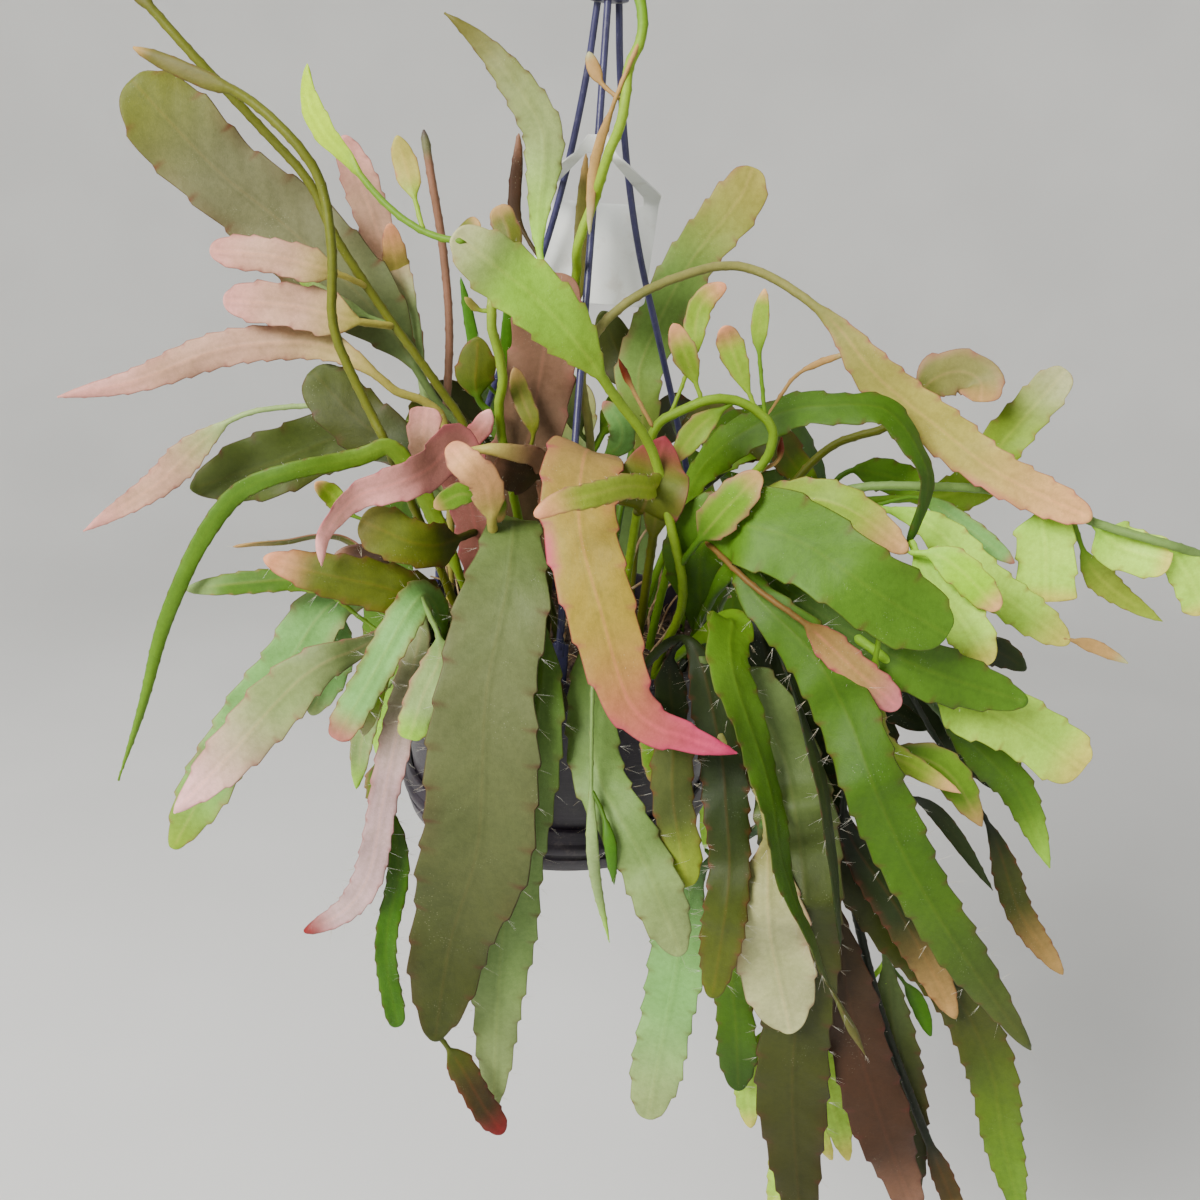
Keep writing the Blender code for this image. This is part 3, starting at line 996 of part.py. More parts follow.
def make_tag():
    """The bare care tag, threaded on the strands through its window."""
    window_end = TAG_BAND + TAG_SLOPE
    runs = [0.0, TAG_BAND] + [TAG_BAND + TAG_SLOPE * step / 7 for step in range(1, 8)]
    runs += [window_end + TAG_BODY * share for share in (0.12, 0.94, 1.0)]
    shape = bmesh.new()
    rows = []
    for number, run in enumerate(runs):
        outer, inner = tag_row(run)
        y, z = tag_bend(run)
        if number == len(runs) - 1:
            outer -= 2.5
        inner = inner or outer / 3
        rows.append([shape.verts.new((side, y, z)) for side in (-outer, -inner, inner, outer)])
    for number, (top, below) in enumerate(zip(rows, rows[1:])):
        beside_window = 1 <= number < runs.index(window_end)
        for column in (0, 2) if beside_window else (0, 1, 2):
            shape.faces.new((top[column], top[column + 1], below[column + 1], below[column]))
    tag = to_object("care_tag", shape, LOOKS["tag"])
    thick = tag.modifiers.new("thickness", "SOLIDIFY")
    thick.thickness = TAG_THICK * MM
    thick.offset = 0.0
    thick.use_even_offset = True


def nearest_on(ribs, place):
    """The place on a chain of ribs that lies nearest to another place."""
    best, least = place, math.inf
    for low, high in zip(ribs, ribs[1:]):
        run = high - low
        share = min(1.0, max(0.0, (place - low).dot(run) / max(1e-9, run.dot(run))))
        found = low + run * share
        away = np.linalg.norm(found - place)
        if away < least:
            best, least = found, away
    return best


def set_ribs(stem, by_name):
    """The few places a stem's sections stand at; a side shoot's first lies on its parent's rib."""
    span = lengths(stem.line)[-1]
    count = int(min(RIBS_MOST, max(RIBS_LEAST, round(span / RIB_SPACE))))
    along = np.linspace(0, 1, count)
    if stem.neck < 1 and stem.neck * span > SHORT_NECK:
        neck = np.linspace(0, stem.neck, max(2, int(round(count * stem.neck * 0.8)) + 1))
        along = np.concatenate((neck[:-1], np.linspace(stem.neck, 1, count - len(neck) + 2)))
    ribs = resample(stem.line, along)
    if stem.parent:
        ribs[0] = nearest_on(by_name[stem.parent].ribs, ribs[0])
    else:
        ribs = np.vstack(((stem.foot[0], stem.foot[1], SOIL_LEVEL - ROOT_DEPTH), ribs))
        along = np.concatenate(([0.0], along))
    stem.ribs, stem.along = ribs, along


def section(stem, index, sides, faces):
    """A stem's section at one of its ribs: its right, front, left and back corners."""
    half = half_width(stem, stem.along[index])
    neck = neck_radius(stem)
    flat = half / (neck + 0.01)
    thick = neck if flat <= 1 else max(BLADE_THICK / 2, neck / flat ** 0.5)
    if index == len(stem.ribs) - 1:
        half = min(half, TIP_HALF)
        thick = TIP_THICK
    elif index == 0 and stem.parent:
        half *= 0.9
        thick *= 0.9
    waved = half * (1 - WAVE) if half > 3.0 else half
    right, left = (half, waved) if index % 2 else (waved, half)
    place, side, face = stem.ribs[index], sides[index], faces[index]
    return (place + side * right, place + face * thick, place - side * left, place - face * thick)


def blade(stem):
    """A stem's solid: four-cornered sections from its root to its tip, with waved margins."""
    sides, faces = frames(stem, stem.ribs, stem.along)
    if stem.parent is None:
        level = sides[2] * (1, 1, 0)
        level = level / np.linalg.norm(level)
        front = np.array((level[1], -level[0], 0.0))
        sides[:2] = level
        faces[:2] = front if faces[2].dot(front) > 0 else -front
    shape = bmesh.new()
    rings = []
    for index in range(len(stem.ribs)):
        rings.append([shape.verts.new(corner) for corner in section(stem, index, sides, faces)])
    for low, high in zip(rings, rings[1:]):
        for step in range(4):
            after = (step + 1) % 4
            shape.faces.new((low[step], low[after], high[after], high[step]))
    shape.faces.new(rings[0])
    shape.faces.new(rings[-1])
    bmesh.ops.triangulate(shape, faces=shape.faces)
    return to_object("stem_" + stem.name, shape, LOOKS["stem_" + stem.tint], 60.0)


def make_stems(stems):
    """Every clump as one solid: a rooted shoot, its side shoots and the shoots grown into it."""
    by_name = {stem.name: stem for stem in stems}
    for stem in parents_first(stems):
        set_ribs(stem, by_name)
    clumps = {}
    for stem in stems:
        root = stem
        while root.parent or root.grown_into:
            root = by_name[root.parent or root.grown_into]
        clumps.setdefault(root.name, []).append(stem)
    for name, members in clumps.items():
        clump = blade(by_name[name])
        others = [blade(stem) for stem in members if stem.name != name]
        if others:
            combine(clump, others, "UNION", "MANIFOLD")


def main():
    for item in list(bpy.data.objects):
        bpy.data.objects.remove(item, do_unlink=True)
    LOOKS["pot"] = material("pot_plastic", (0.020, 0.012, 0.026), 0.42)
    LOOKS["strand"] = material("hanger_plastic", (0.045, 0.042, 0.105), 0.38)
    LOOKS["soil"] = material("potting_soil", (0.045, 0.028, 0.018), 0.95)
    LOOKS["tag"] = material("tag_plastic", (0.78, 0.80, 0.79), 0.45)
    for tint, colour in TINTS.items():
        LOOKS["stem_" + tint] = material("stem_" + tint, colour, 0.5)
    grow_back([stem.foot for stem in STEMS if stem.foot])
    settle(STEMS, place_fixed())
    make_pot()
    make_saucer()
    make_soil([stem.foot for stem in STEMS if stem.foot])
    for side, heading in STRAND_HEADINGS.items():
        make_strand(side, heading)
    make_hook()
    make_tag()
    make_stems(STEMS)


main()
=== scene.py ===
import json
import math
import random

import bpy
import numpy as np
from mathutils import Matrix, Vector
from mathutils.kdtree import KDTree

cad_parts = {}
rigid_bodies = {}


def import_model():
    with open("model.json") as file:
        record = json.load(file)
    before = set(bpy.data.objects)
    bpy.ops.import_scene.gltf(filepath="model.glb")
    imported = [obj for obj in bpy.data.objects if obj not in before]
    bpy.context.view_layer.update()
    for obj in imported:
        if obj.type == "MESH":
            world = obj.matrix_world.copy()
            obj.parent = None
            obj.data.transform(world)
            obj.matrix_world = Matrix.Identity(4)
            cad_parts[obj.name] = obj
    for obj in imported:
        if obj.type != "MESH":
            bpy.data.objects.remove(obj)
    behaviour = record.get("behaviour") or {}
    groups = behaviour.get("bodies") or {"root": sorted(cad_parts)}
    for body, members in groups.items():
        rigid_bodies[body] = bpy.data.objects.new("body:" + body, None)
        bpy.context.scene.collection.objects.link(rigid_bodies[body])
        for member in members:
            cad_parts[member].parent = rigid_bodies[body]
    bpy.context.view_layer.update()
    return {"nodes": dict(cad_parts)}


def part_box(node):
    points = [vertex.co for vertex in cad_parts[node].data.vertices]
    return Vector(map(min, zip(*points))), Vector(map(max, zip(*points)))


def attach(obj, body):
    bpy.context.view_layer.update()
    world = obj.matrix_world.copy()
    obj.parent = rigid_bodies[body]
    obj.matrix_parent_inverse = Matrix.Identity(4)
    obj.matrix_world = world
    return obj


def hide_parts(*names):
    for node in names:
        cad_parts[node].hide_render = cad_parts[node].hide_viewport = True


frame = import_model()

print("frame loaded:", len(frame["nodes"]), "solids")

# The plant is measured in millimetres from the middle of the pot's rim: right, back and up
mm = 0.001
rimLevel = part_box("pot")[1].z


def toFrame(places):
    return np.asarray(places, float) * mm + (0.0, 0.0, rimLevel)


def deselect():
    if bpy.context.object and bpy.context.object.mode != "OBJECT":
        bpy.ops.object.mode_set(mode="OBJECT")
    bpy.ops.object.select_all(action="DESELECT")


def pick(*items):
    deselect()
    for item in items:
        item.select_set(True)
    bpy.context.view_layer.objects.active = items[0]


# Shader maths: sums on signals add their own nodes
class Signal:
    def __init__(self, look, socket):
        self.look = look
        self.socket = socket

    def calc(self, operation, *values):
        return self.look.node("ShaderNodeMath", {"operation": operation}, dict(enumerate(values)))

    def __add__(self, other):
        return self.calc("ADD", self, other)

    def __radd__(self, other):
        return self.calc("ADD", other, self)

    def __sub__(self, other):
        return self.calc("SUBTRACT", self, other)

    def __rsub__(self, other):
        return self.calc("SUBTRACT", other, self)

    def __mul__(self, other):
        return self.calc("MULTIPLY", self, other)

    def __rmul__(self, other):
        return self.calc("MULTIPLY", other, self)

    def __abs__(self):
        return self.calc("ABSOLUTE", self)

    # 0 below low, 1 above high and eased between (low may be the larger)
    def step(self, low, high):
        inputs = {"Value": self, "From Min": low, "From Max": high}
        return self.look.node("ShaderNodeMapRange", {"interpolation_type": "SMOOTHSTEP"}, inputs)


class Look:
    def __init__(self, name):
        self.material = bpy.data.materials.new(name)
        self.material.use_nodes = True
        self.tree = self.material.node_tree
        self.shader = self.tree.nodes["Principled BSDF"]
        self.bumps = None

    def feed(self, value, socket):
        if isinstance(value, Signal):
            self.tree.links.new(value.socket, socket)
        elif socket.type == "RGBA":
            socket.default_value = (*value, 1.0)
        else:
            socket.default_value = value

    # Any node: its settings first, then the values or signals of its inputs
    def node(self, kind, settings=None, inputs=None, out=0):
        made = self.tree.nodes.new(kind)
        for name, value in (settings or {}).items():
            setattr(made, name, value)
        for name, value in (inputs or {}).items():
            self.feed(value, made.inputs[name])
        return Signal(self, made.outputs[out])

    def place(self):
        return self.node("ShaderNodeTexCoord", out="Object")

    def stretched(self, scale):
        return self.node("ShaderNodeMapping", {}, {"Vector": self.place(), "Scale": scale})

    def noise(self, scale, detail=4.0, rough=0.55, where=None):
        inputs = {"Vector": where or self.place(), "Scale": scale, "Detail": detail, "Roughness": rough}
        return self.node("ShaderNodeTexNoise", {}, inputs)

    def dots(self, scale):
        return self.node("ShaderNodeTexVoronoi", {}, {"Vector": self.place(), "Scale": scale})

    def attribute(self, name, out="Color"):
        return self.node("ShaderNodeAttribute", {"attribute_name": name}, out=out)

    def parts(self, vector):
        made = self.node("ShaderNodeSeparateXYZ", {}, {0: vector})
        return [Signal(self, socket) for socket in made.socket.node.outputs]

    def mix(self, share, low, high, way="MIX"):
        settings = {"data_type": "RGBA", "blend_type": way}
        return self.node("ShaderNodeMix", settings, {0: share, 6: low, 7: high}, out=2)

    # The colour, changed by a tone over a share of the skin
    def tinged(self, share, colour, tone):
        return self.mix(share, colour, self.mix(1.0, colour, tone, "MULTIPLY"))

    # Each bump rests on the one before it
    def bump(self, height, distance, strength):
        inputs = {"Height": height, "Distance": distance, "Strength": strength}
        if self.bumps:
            inputs["Normal"] = self.bumps
        self.bumps = self.node("ShaderNodeBump", {}, inputs)

    def finish(self, colour=None, roughness=None, **constants):
        for name, value in constants.items():
            self.shader.inputs[name].default_value = value
        if colour:
            self.feed(colour, self.shader.inputs["Base Color"])
        if roughness:
            self.feed(roughness, self.shader.inputs["Roughness"])
        if self.bumps:
            self.feed(self.bumps, self.shader.inputs["Normal"])
        return self.material


# A colour, 0 to 255 as on screen, made linear
def shade(red, green, blue):
    return tuple((part / 255 / 12.92) if part <= 10 else ((part / 255 + 0.055) / 1.055) ** 2.4
                 for part in (red, green, blue))


# Colours of the stems' skin, and one dark green of painted shade for necks and leaves deep in the plant's
# middle
skins = {
    "deepGreen": shade(82, 110, 42), "green": shade(104, 134, 50), "fresh": shade(138, 168, 72),
    "leaf": shade(118, 150, 66), "glaucous": shade(142, 174, 104), "sage": shade(160, 186, 120),
    "bright": shade(106, 146, 46), "lime": shade(168, 190, 92), "glow": shade(188, 224, 114),
    "limeCream": shade(208, 238, 132), "acid": shade(204, 228, 18), "yellowGreen": shade(186, 200, 106),
    "straw": shade(194, 186, 122), "butter": shade(232, 224, 146), "mint": shade(148, 170, 116),
    "paleMint": shade(182, 200, 150), "celadon": shade(176, 188, 142),
    "grey": shade(126, 142, 98), "teal": shade(104, 134, 84), "moss": shade(70, 84, 36),
    # Painted shade: the first colour below, the darkest green, for necks and leaves deep in the plant's
    # middle
    "paintedShade": shade(46, 58, 26), "olive": shade(94, 100, 46), "darkOlive": shade(84, 84, 32),
    "ochre": shade(122, 130, 50), "midOlive": shade(134, 138, 66), "khaki": shade(132, 128, 76),
    "paleOlive": shade(166, 164, 116), "umber": shade(98, 84, 40), "mauve": shade(142, 122, 104),
    "rosyBrown": shade(168, 136, 118), "darkMauve": shade(96, 72, 52), "blush": shade(212, 182, 164),
    "rosy": shade(224, 178, 172), "dusty": shade(196, 146, 138),
    "pink": shade(206, 124, 138), "rose": shade(222, 158, 162), "hotPink": shade(204, 92, 132),
    "coral": shade(228, 178, 148), "peach": shade(234, 196, 156), "cream": shade(202, 202, 166),
    "tan": shade(200, 172, 128), "brown": shade(124, 92, 58), "red": shade(158, 60, 60),
    "maroon": shade(106, 56, 50), "rust": shade(146, 82, 58),
    "glowMint": shade(162, 200, 140), "greyMauve": shade(146, 146, 118), "greyViolet": shade(112, 98, 98),
    "mossGrey": shade(108, 116, 70), "sunGreen": shade(186, 222, 84), "petal": shade(246, 196, 192),
    "snowPink": shade(255, 214, 216), "plum": shade(178, 96, 106), "oliveTan": shade(146, 122, 78),
    "gold": shade(178, 162, 94), "greyOlive": shade(144, 150, 116),
    "hazeGreen": shade(112, 124, 68), "lilac": shade(204, 182, 182),
}


# The skin itself is deeper than it looks in bright light: further from grey, and darker
def deepened(colour, strength=1.14, power=1.45, level=0.92):
    grey = 0.21 * colour[0] + 0.72 * colour[1] + 0.07 * colour[2]
    return tuple(max(0.002, grey + (part - grey) * strength) ** power * level for part in colour)


skins = {name: deepened(colour) for name, colour in skins.items()}

# Each tint: the skin at the neck, over the blade and at the tip, the margin's line, and the tip's share
tints = {
    "arch_green": ("lime", "leaf", "fresh", "brown", 0.62),
    "blush": ("straw", "blush", "rosy", "dusty", 0.4),
    "blush_green": ("oliveTan", "tan", "rose", "hotPink", 0.4),
    "blush_mint": ("paleMint", "blush", "rosy", "dusty", 0.35),
    "bow_pink": ("rosyBrown", "gold", "hotPink", "hotPink", 0.42),
    "bright_green": ("green", "bright", "bright", "brown", 0.3),
    "bright_lime": ("fresh", "acid", "acid", "acid", 0.6),
    "bud_coral": ("lime", "lime", "coral", "dusty", 0.4),
    "butter_pink": ("paleOlive", "straw", "peach", "pink", 0.45),
    "coral": ("straw", "peach", "coral", "dusty", 0.3),
    # Its neck is painted shade
    "dark_tan": ("paintedShade", "umber", "tan", "rust", 0.35),
    "deep_olive": ("moss", "olive", "mossGrey", "maroon", 0.4),
    "deep_red": ("green", "ochre", "midOlive", "red", 0.3),
    "diag_green": ("green", "green", "mossGrey", "brown", 0.4),
    "fold_green": ("fresh", "green", "khaki", "brown", 0.4),
    "glaucous": ("green", "leaf", "leaf", "brown", 0.4),
    "glow_pink": ("glowMint", "glowMint", "lime", "dusty", 0.3),
    "green": ("lime", "fresh", "fresh", "fresh", 0.3),
    "green_deep": ("fresh", "green", "deepGreen", "brown", 0.5),
    "green_orange": ("olive", "ochre", "coral", "rust", 0.2),
    "green_pink": ("green", "fresh", "tan", "dusty", 0.3),
    "grey_mint": ("teal", "glowMint", "celadon", "brown", 0.5),
    "hang_dark": ("moss", "moss", "ochre", "rust", 0.55),
    "lime_glow": ("glow", "limeCream", "butter", "tan", 0.25),
    "lime_green": ("green", "leaf", "glow", "brown", 0.4),
    "lime_pink": ("fresh", "lime", "peach", "dusty", 0.25),
    "lime_tan": ("fresh", "lime", "cream", "tan", 0.35),
    # Its neck is painted shade
    "low_green": ("paintedShade", "olive", "fresh", "brown", 0.45),
    "mauve_brown": ("rosyBrown", "greyMauve", "greyViolet", "maroon", 0.4),
    "mauve_dark": ("umber", "darkMauve", "rosyBrown", "maroon", 0.3),
    "mauve_pink": ("olive", "rosyBrown", "straw", "maroon", 0.3),
    "mint": ("green", "mint", "celadon", "brown", 0.4),
    "mint_pink_tip": ("moss", "celadon", "snowPink", "dusty", 0.5),
    "mint_red": ("leaf", "glowMint", "dusty", "red", 0.14),
    "mint_yellow": ("mint", "paleMint", "glow", "dusty", 0.35),
    "olive_blush": ("midOlive", "yellowGreen", "coral", "dusty", 0.2),
    "olive_deep": ("grey", "olive", "darkOlive", "maroon", 0.5),
    "olive_green": ("olive", "olive", "fresh", "rust", 0.45),
    "olive_pink": ("midOlive", "midOlive", "tan", "dusty", 0.3),
    "olive_red": ("ochre", "umber", "red", "red", 0.35),
    "olive_tan": ("midOlive", "khaki", "tan", "rust", 0.2),
    "pale_blush": ("midOlive", "celadon", "straw", "dusty", 0.35),
    "pale_mint": ("paleOlive", "cream", "cream", "dusty", 0.3),
    "pale_olive": ("grey", "paleOlive", "straw", "rust", 0.3),
    "red_tan": ("tan", "rust", "rust", "red", 0.3),
    "rose": ("dusty", "dusty", "petal", "pink", 0.6),
    # Painted shade: a dark green for leaves deep in the plant's middle
    "shade_green": ("paintedShade", "moss", "moss", "brown", 0.3),
    "silver_green": ("grey", "greyMauve", "midOlive", "rust", 0.3),
    "tall_olive": ("acid", "lime", "khaki", "maroon", 0.6),
    "tan": ("tan", "tan", "cream", "rust", 0.3),
    "tan_pink": ("grey", "straw", "coral", "dusty", 0.3),
    "tan_yellow": ("lime", "straw", "straw", "coral", 0.3),
    "teal_wand": ("mint", "leaf", "bright", "teal", 0.3),
    "yellow_green": ("fresh", "yellowGreen", "yellowGreen", "tan", 0.3),
}


# Shoots whose skin differs from the rest of their tint
ownTints = {
    "giant_olive": ("leaf", "greyOlive", "olive", "maroon", 0.75),
    "tall_pale": ("glow", "celadon", "khaki", "maroon", 0.7),
    "front_bract": ("midOlive", "ochre", "plum", "pink", 0.4),
    "pale_ribbon": ("celadon", "lilac", "red", "dusty", 0.12),
    "green_tongue": ("ochre", "mossGrey", "yellowGreen", "rust", 0.4),
    "pale_broken": ("fresh", "leaf", "paleMint", "tan", 0.3),
    "mint_low_left_2": ("glowMint", "glowMint", "celadon", "tan", 0.3),
    "dark_back": ("olive", "hazeGreen", "hazeGreen", "maroon", 0.3),
    # These two necks are painted shade
    "green_dip": ("paintedShade", "moss", "tan", "rust", 0.5),
    "narrow_tan": ("paintedShade", "olive", "tan", "rust", 0.5),
    "curled_leaf": ("midOlive", "paleOlive", "tan", "dusty", 0.3),
    "upper_right": ("midOlive", "sage", "straw", "dusty", 0.4),
    "yellow_pink_tip": ("glow", "sunGreen", "peach", "dusty", 0.3),
    "long_green": ("lime", "glow", "cream", "tan", 0.35),
    "big_mauve": ("mossGrey", "mauve", "rosyBrown", "dusty", 0.5),
    "mid_leaf": ("olive", "ochre", "khaki", "rust", 0.3),
}

# How far each margin colour flushes into the skin
flushes = {"hotPink": 0.85, "pink": 0.6, "dusty": 0.5, "coral": 0.4, "red": 0.35, "maroon": 0.22, "rust": 0.2}


# The stems' skin: waxy and satin, mottled, with a fine margin line, a midrib with a band of painted shade
# either side, and faint veins
def makeSkin():
    look = Look("cactus_skin")
    across, along, half = look.parts(look.attribute("leaf", "Vector"))
    fromRib = abs(across) * half
    fromEdge = (1.0 - abs(across)) * half
    wide = half.step(2.4, 5.0)
    rimColour = look.attribute("rim")
    rosy = look.attribute("rim", "Alpha")
    areole = look.attribute("areole", "Fac")
    margin = fromEdge.step(0.75, 0.1) * wide
    rib = fromRib.step(0.9, 0.25) * wide
    grooveShade = fromRib.step(0.9, 1.5) * fromRib.step(3.4, 1.6) * wide
    patches = look.noise(38.0, 3.0, 0.6)
    grain = look.noise(420.0, 5.0, 0.65)
    fine = look.noise(1500.0, 2.0)
    veins = look.node("ShaderNodeTexWave", {"wave_type": "BANDS", "bands_direction": "X"}, {
        "Vector": look.node("ShaderNodeCombineXYZ", {}, {0: along + fromRib * -1.15, 1: across, 2: 0.0}),
        "Scale": 0.022, "Distortion": 3.0, "Detail": 2.0, "Detail Scale": 0.05})
    colour = look.attribute("skin")
    colour = look.tinged(patches.step(0.42, 0.72) * 0.5, colour, (0.70, 0.76, 0.62))
    colour = look.tinged(grain.step(0.35, 0.7) * 0.4, colour, (0.62, 0.65, 0.56))
    colour = look.tinged(fine.step(0.45, 0.7) * 0.2, colour, (1.4, 1.36, 1.3))
    colour = look.tinged(veins * wide * 0.1, colour, (1.3, 1.3, 1.15))
    # Painted shade: a darker band either side of the midrib, standing for the shade of a groove
    colour = look.tinged(grooveShade * 0.3, colour, (0.72, 0.74, 0.64))
    pale = look.mix(1.0, colour, (1.4, 1.4, 1.2), "MULTIPLY")
    colour = look.mix(rib * (0.25 + rosy * 0.25), colour, look.mix(0.3, pale, rimColour))
    flush = look.noise(24.0, 2.0).step(0.42, 0.7) * abs(across).step(0.5, 1.0) * wide
    colour = look.mix(flush * rosy, colour, rimColour)
    colour = look.mix(margin * (0.3 + rosy * 0.4), colour, look.mix(0.6, rimColour, shade(78, 44, 34)))
    colour = look.mix(areole * 0.85, colour, look.mix(0.5, rimColour, shade(80, 36, 28)))
    specks = look.dots(900.0).step(0.2, 0.08) * look.noise(60.0).step(0.54, 0.66)
    colour = look.mix(specks * 0.22, colour, shade(206, 210, 176))
    look.bump(veins * wide, 0.0004, 0.3)
    look.bump(grain, 0.0003, 0.5)
    look.bump(fine, 0.00012, 0.5)
    rough = 0.5 + patches * 0.14 + margin * 0.1
    return look.finish(colour, rough, **{"Specular IOR Level": 0.28})


# Moulded plastic of the pot and saucer: dark, dusty and scuffed, with dry splashes of soil near the foot
def makePotPlastic():
    look = Look("pot_plastic")
    x, y, z = look.parts(look.place())
    cloud = look.noise(26.0, 5.0, 0.6)
    rings = look.noise(1.0, 4.0, 0.6, look.stretched((40.0, 40.0, 1500.0)))
    dust = look.noise(210.0, 6.0, 0.7).step(0.5, 0.72)
    low = z.step(rimLevel - 0.045, rimLevel - 0.086)
    splash = look.dots(520.0).step(0.22, 0.1) * look.noise(70.0, 3.0).step(0.52, 0.64)
    colour = look.mix(cloud.step(0.35, 0.7), shade(28, 22, 32), shade(42, 33, 46))
    colour = look.mix(rings.step(0.5, 0.75) * 0.25, colour, shade(70, 60, 76))
    colour = look.mix(dust * (0.06 + low * 0.2), colour, shade(130, 116, 110))
    colour = look.mix(splash * (0.06 + low * 0.5), colour, shade(150, 130, 106))
    look.bump(rings, 0.0002, 0.5)
    look.bump(look.noise(900.0, 3.0), 0.0001, 0.5)
    look.bump(splash, 0.0004, 0.6)
    return look.finish(colour, 0.34 + cloud * 0.16 + dust * 0.2, **{"Specular IOR Level": 0.5})


def makeStrandPlastic():
    look = Look("hanger_plastic")
    cloud = look.noise(60.0, 4.0)
    dust = look.noise(320.0, 5.0, 0.7).step(0.52, 0.75)
    colour = look.mix(cloud.step(0.3, 0.7), shade(38, 36, 68), shade(54, 52, 92))
    colour = look.mix(dust * 0.2, colour, shade(130, 128, 146))
    look.bump(look.noise(700.0, 3.0), 0.00015, 0.6)
    return look.finish(colour, 0.32 + cloud * 0.14 + dust * 0.2)


def makeSoilLook():
    look = Look("potting_soil")
    lumps = look.noise(150.0, 6.0, 0.7)
    fine = look.noise(900.0, 5.0, 0.7)
    colour = look.mix(lumps.step(0.3, 0.7), shade(34, 24, 18), shade(88, 66, 48))
    colour = look.mix(fine.step(0.55, 0.75) * 0.5, colour, shade(136, 110, 84))
    colour = look.mix(look.dots(260.0).step(0.16, 0.1) * 0.5, colour, shade(196, 190, 176))
    look.bump(lumps, 0.002, 0.8)
    look.bump(fine, 0.0006, 0.8)
    return look.finish(colour, 0.84 + fine * 0.14)


def makeTagPlastic():
    look = Look("tag_plastic")
    cloud = look.noise(34.0, 4.0)
    smudge = look.noise(90.0, 5.0, 0.65).step(0.52, 0.74)
    colour = look.mix(cloud.step(0.35, 0.7), shade(228, 230, 226), shade(212, 216, 214))
    colour = look.mix(smudge * 0.4, colour, shade(186, 180, 164))
    look.bump(look.noise(500.0, 4.0), 0.00012, 0.5)
    look.bump(look.noise(30.0, 2.0), 0.0008, 0.4)
    return look.finish(colour, 0.36 + smudge * 0.25 + cloud * 0.08)


def makeBristleLook():
    look = Look("bristle")
    tone = look.noise(260.0, 2.0)
    colour = look.mix(tone.step(0.4, 0.65), shade(214, 212, 198), shade(186, 172, 142))
    return look.finish(colour, 0.5 + tone * 0.1)


def makeFibreLook():
    look = Look("dry_fibre")
    tone = look.noise(140.0, 3.0)
    colour = look.mix(tone.step(0.35, 0.7), shade(122, 92, 62), shade(196, 168, 126))
    look.bump(look.noise(800.0, 3.0), 0.0002, 0.6)
    return look.finish(colour, 0.7 + tone * 0.15)


looks = {"skin": makeSkin(), "pot": makePotPlastic(), "strand": makeStrandPlastic(), "soil": makeSoilLook(),
         "tag": makeTagPlastic(), "bristle": makeBristleLook(), "fibre": makeFibreLook()}
print("looks made:", len(looks))


# Puts a finished piece on the frame in place of its solids
def settleOn(piece, slotName, *nodes):
    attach(piece, "root")
    if nodes:
        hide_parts(*nodes)


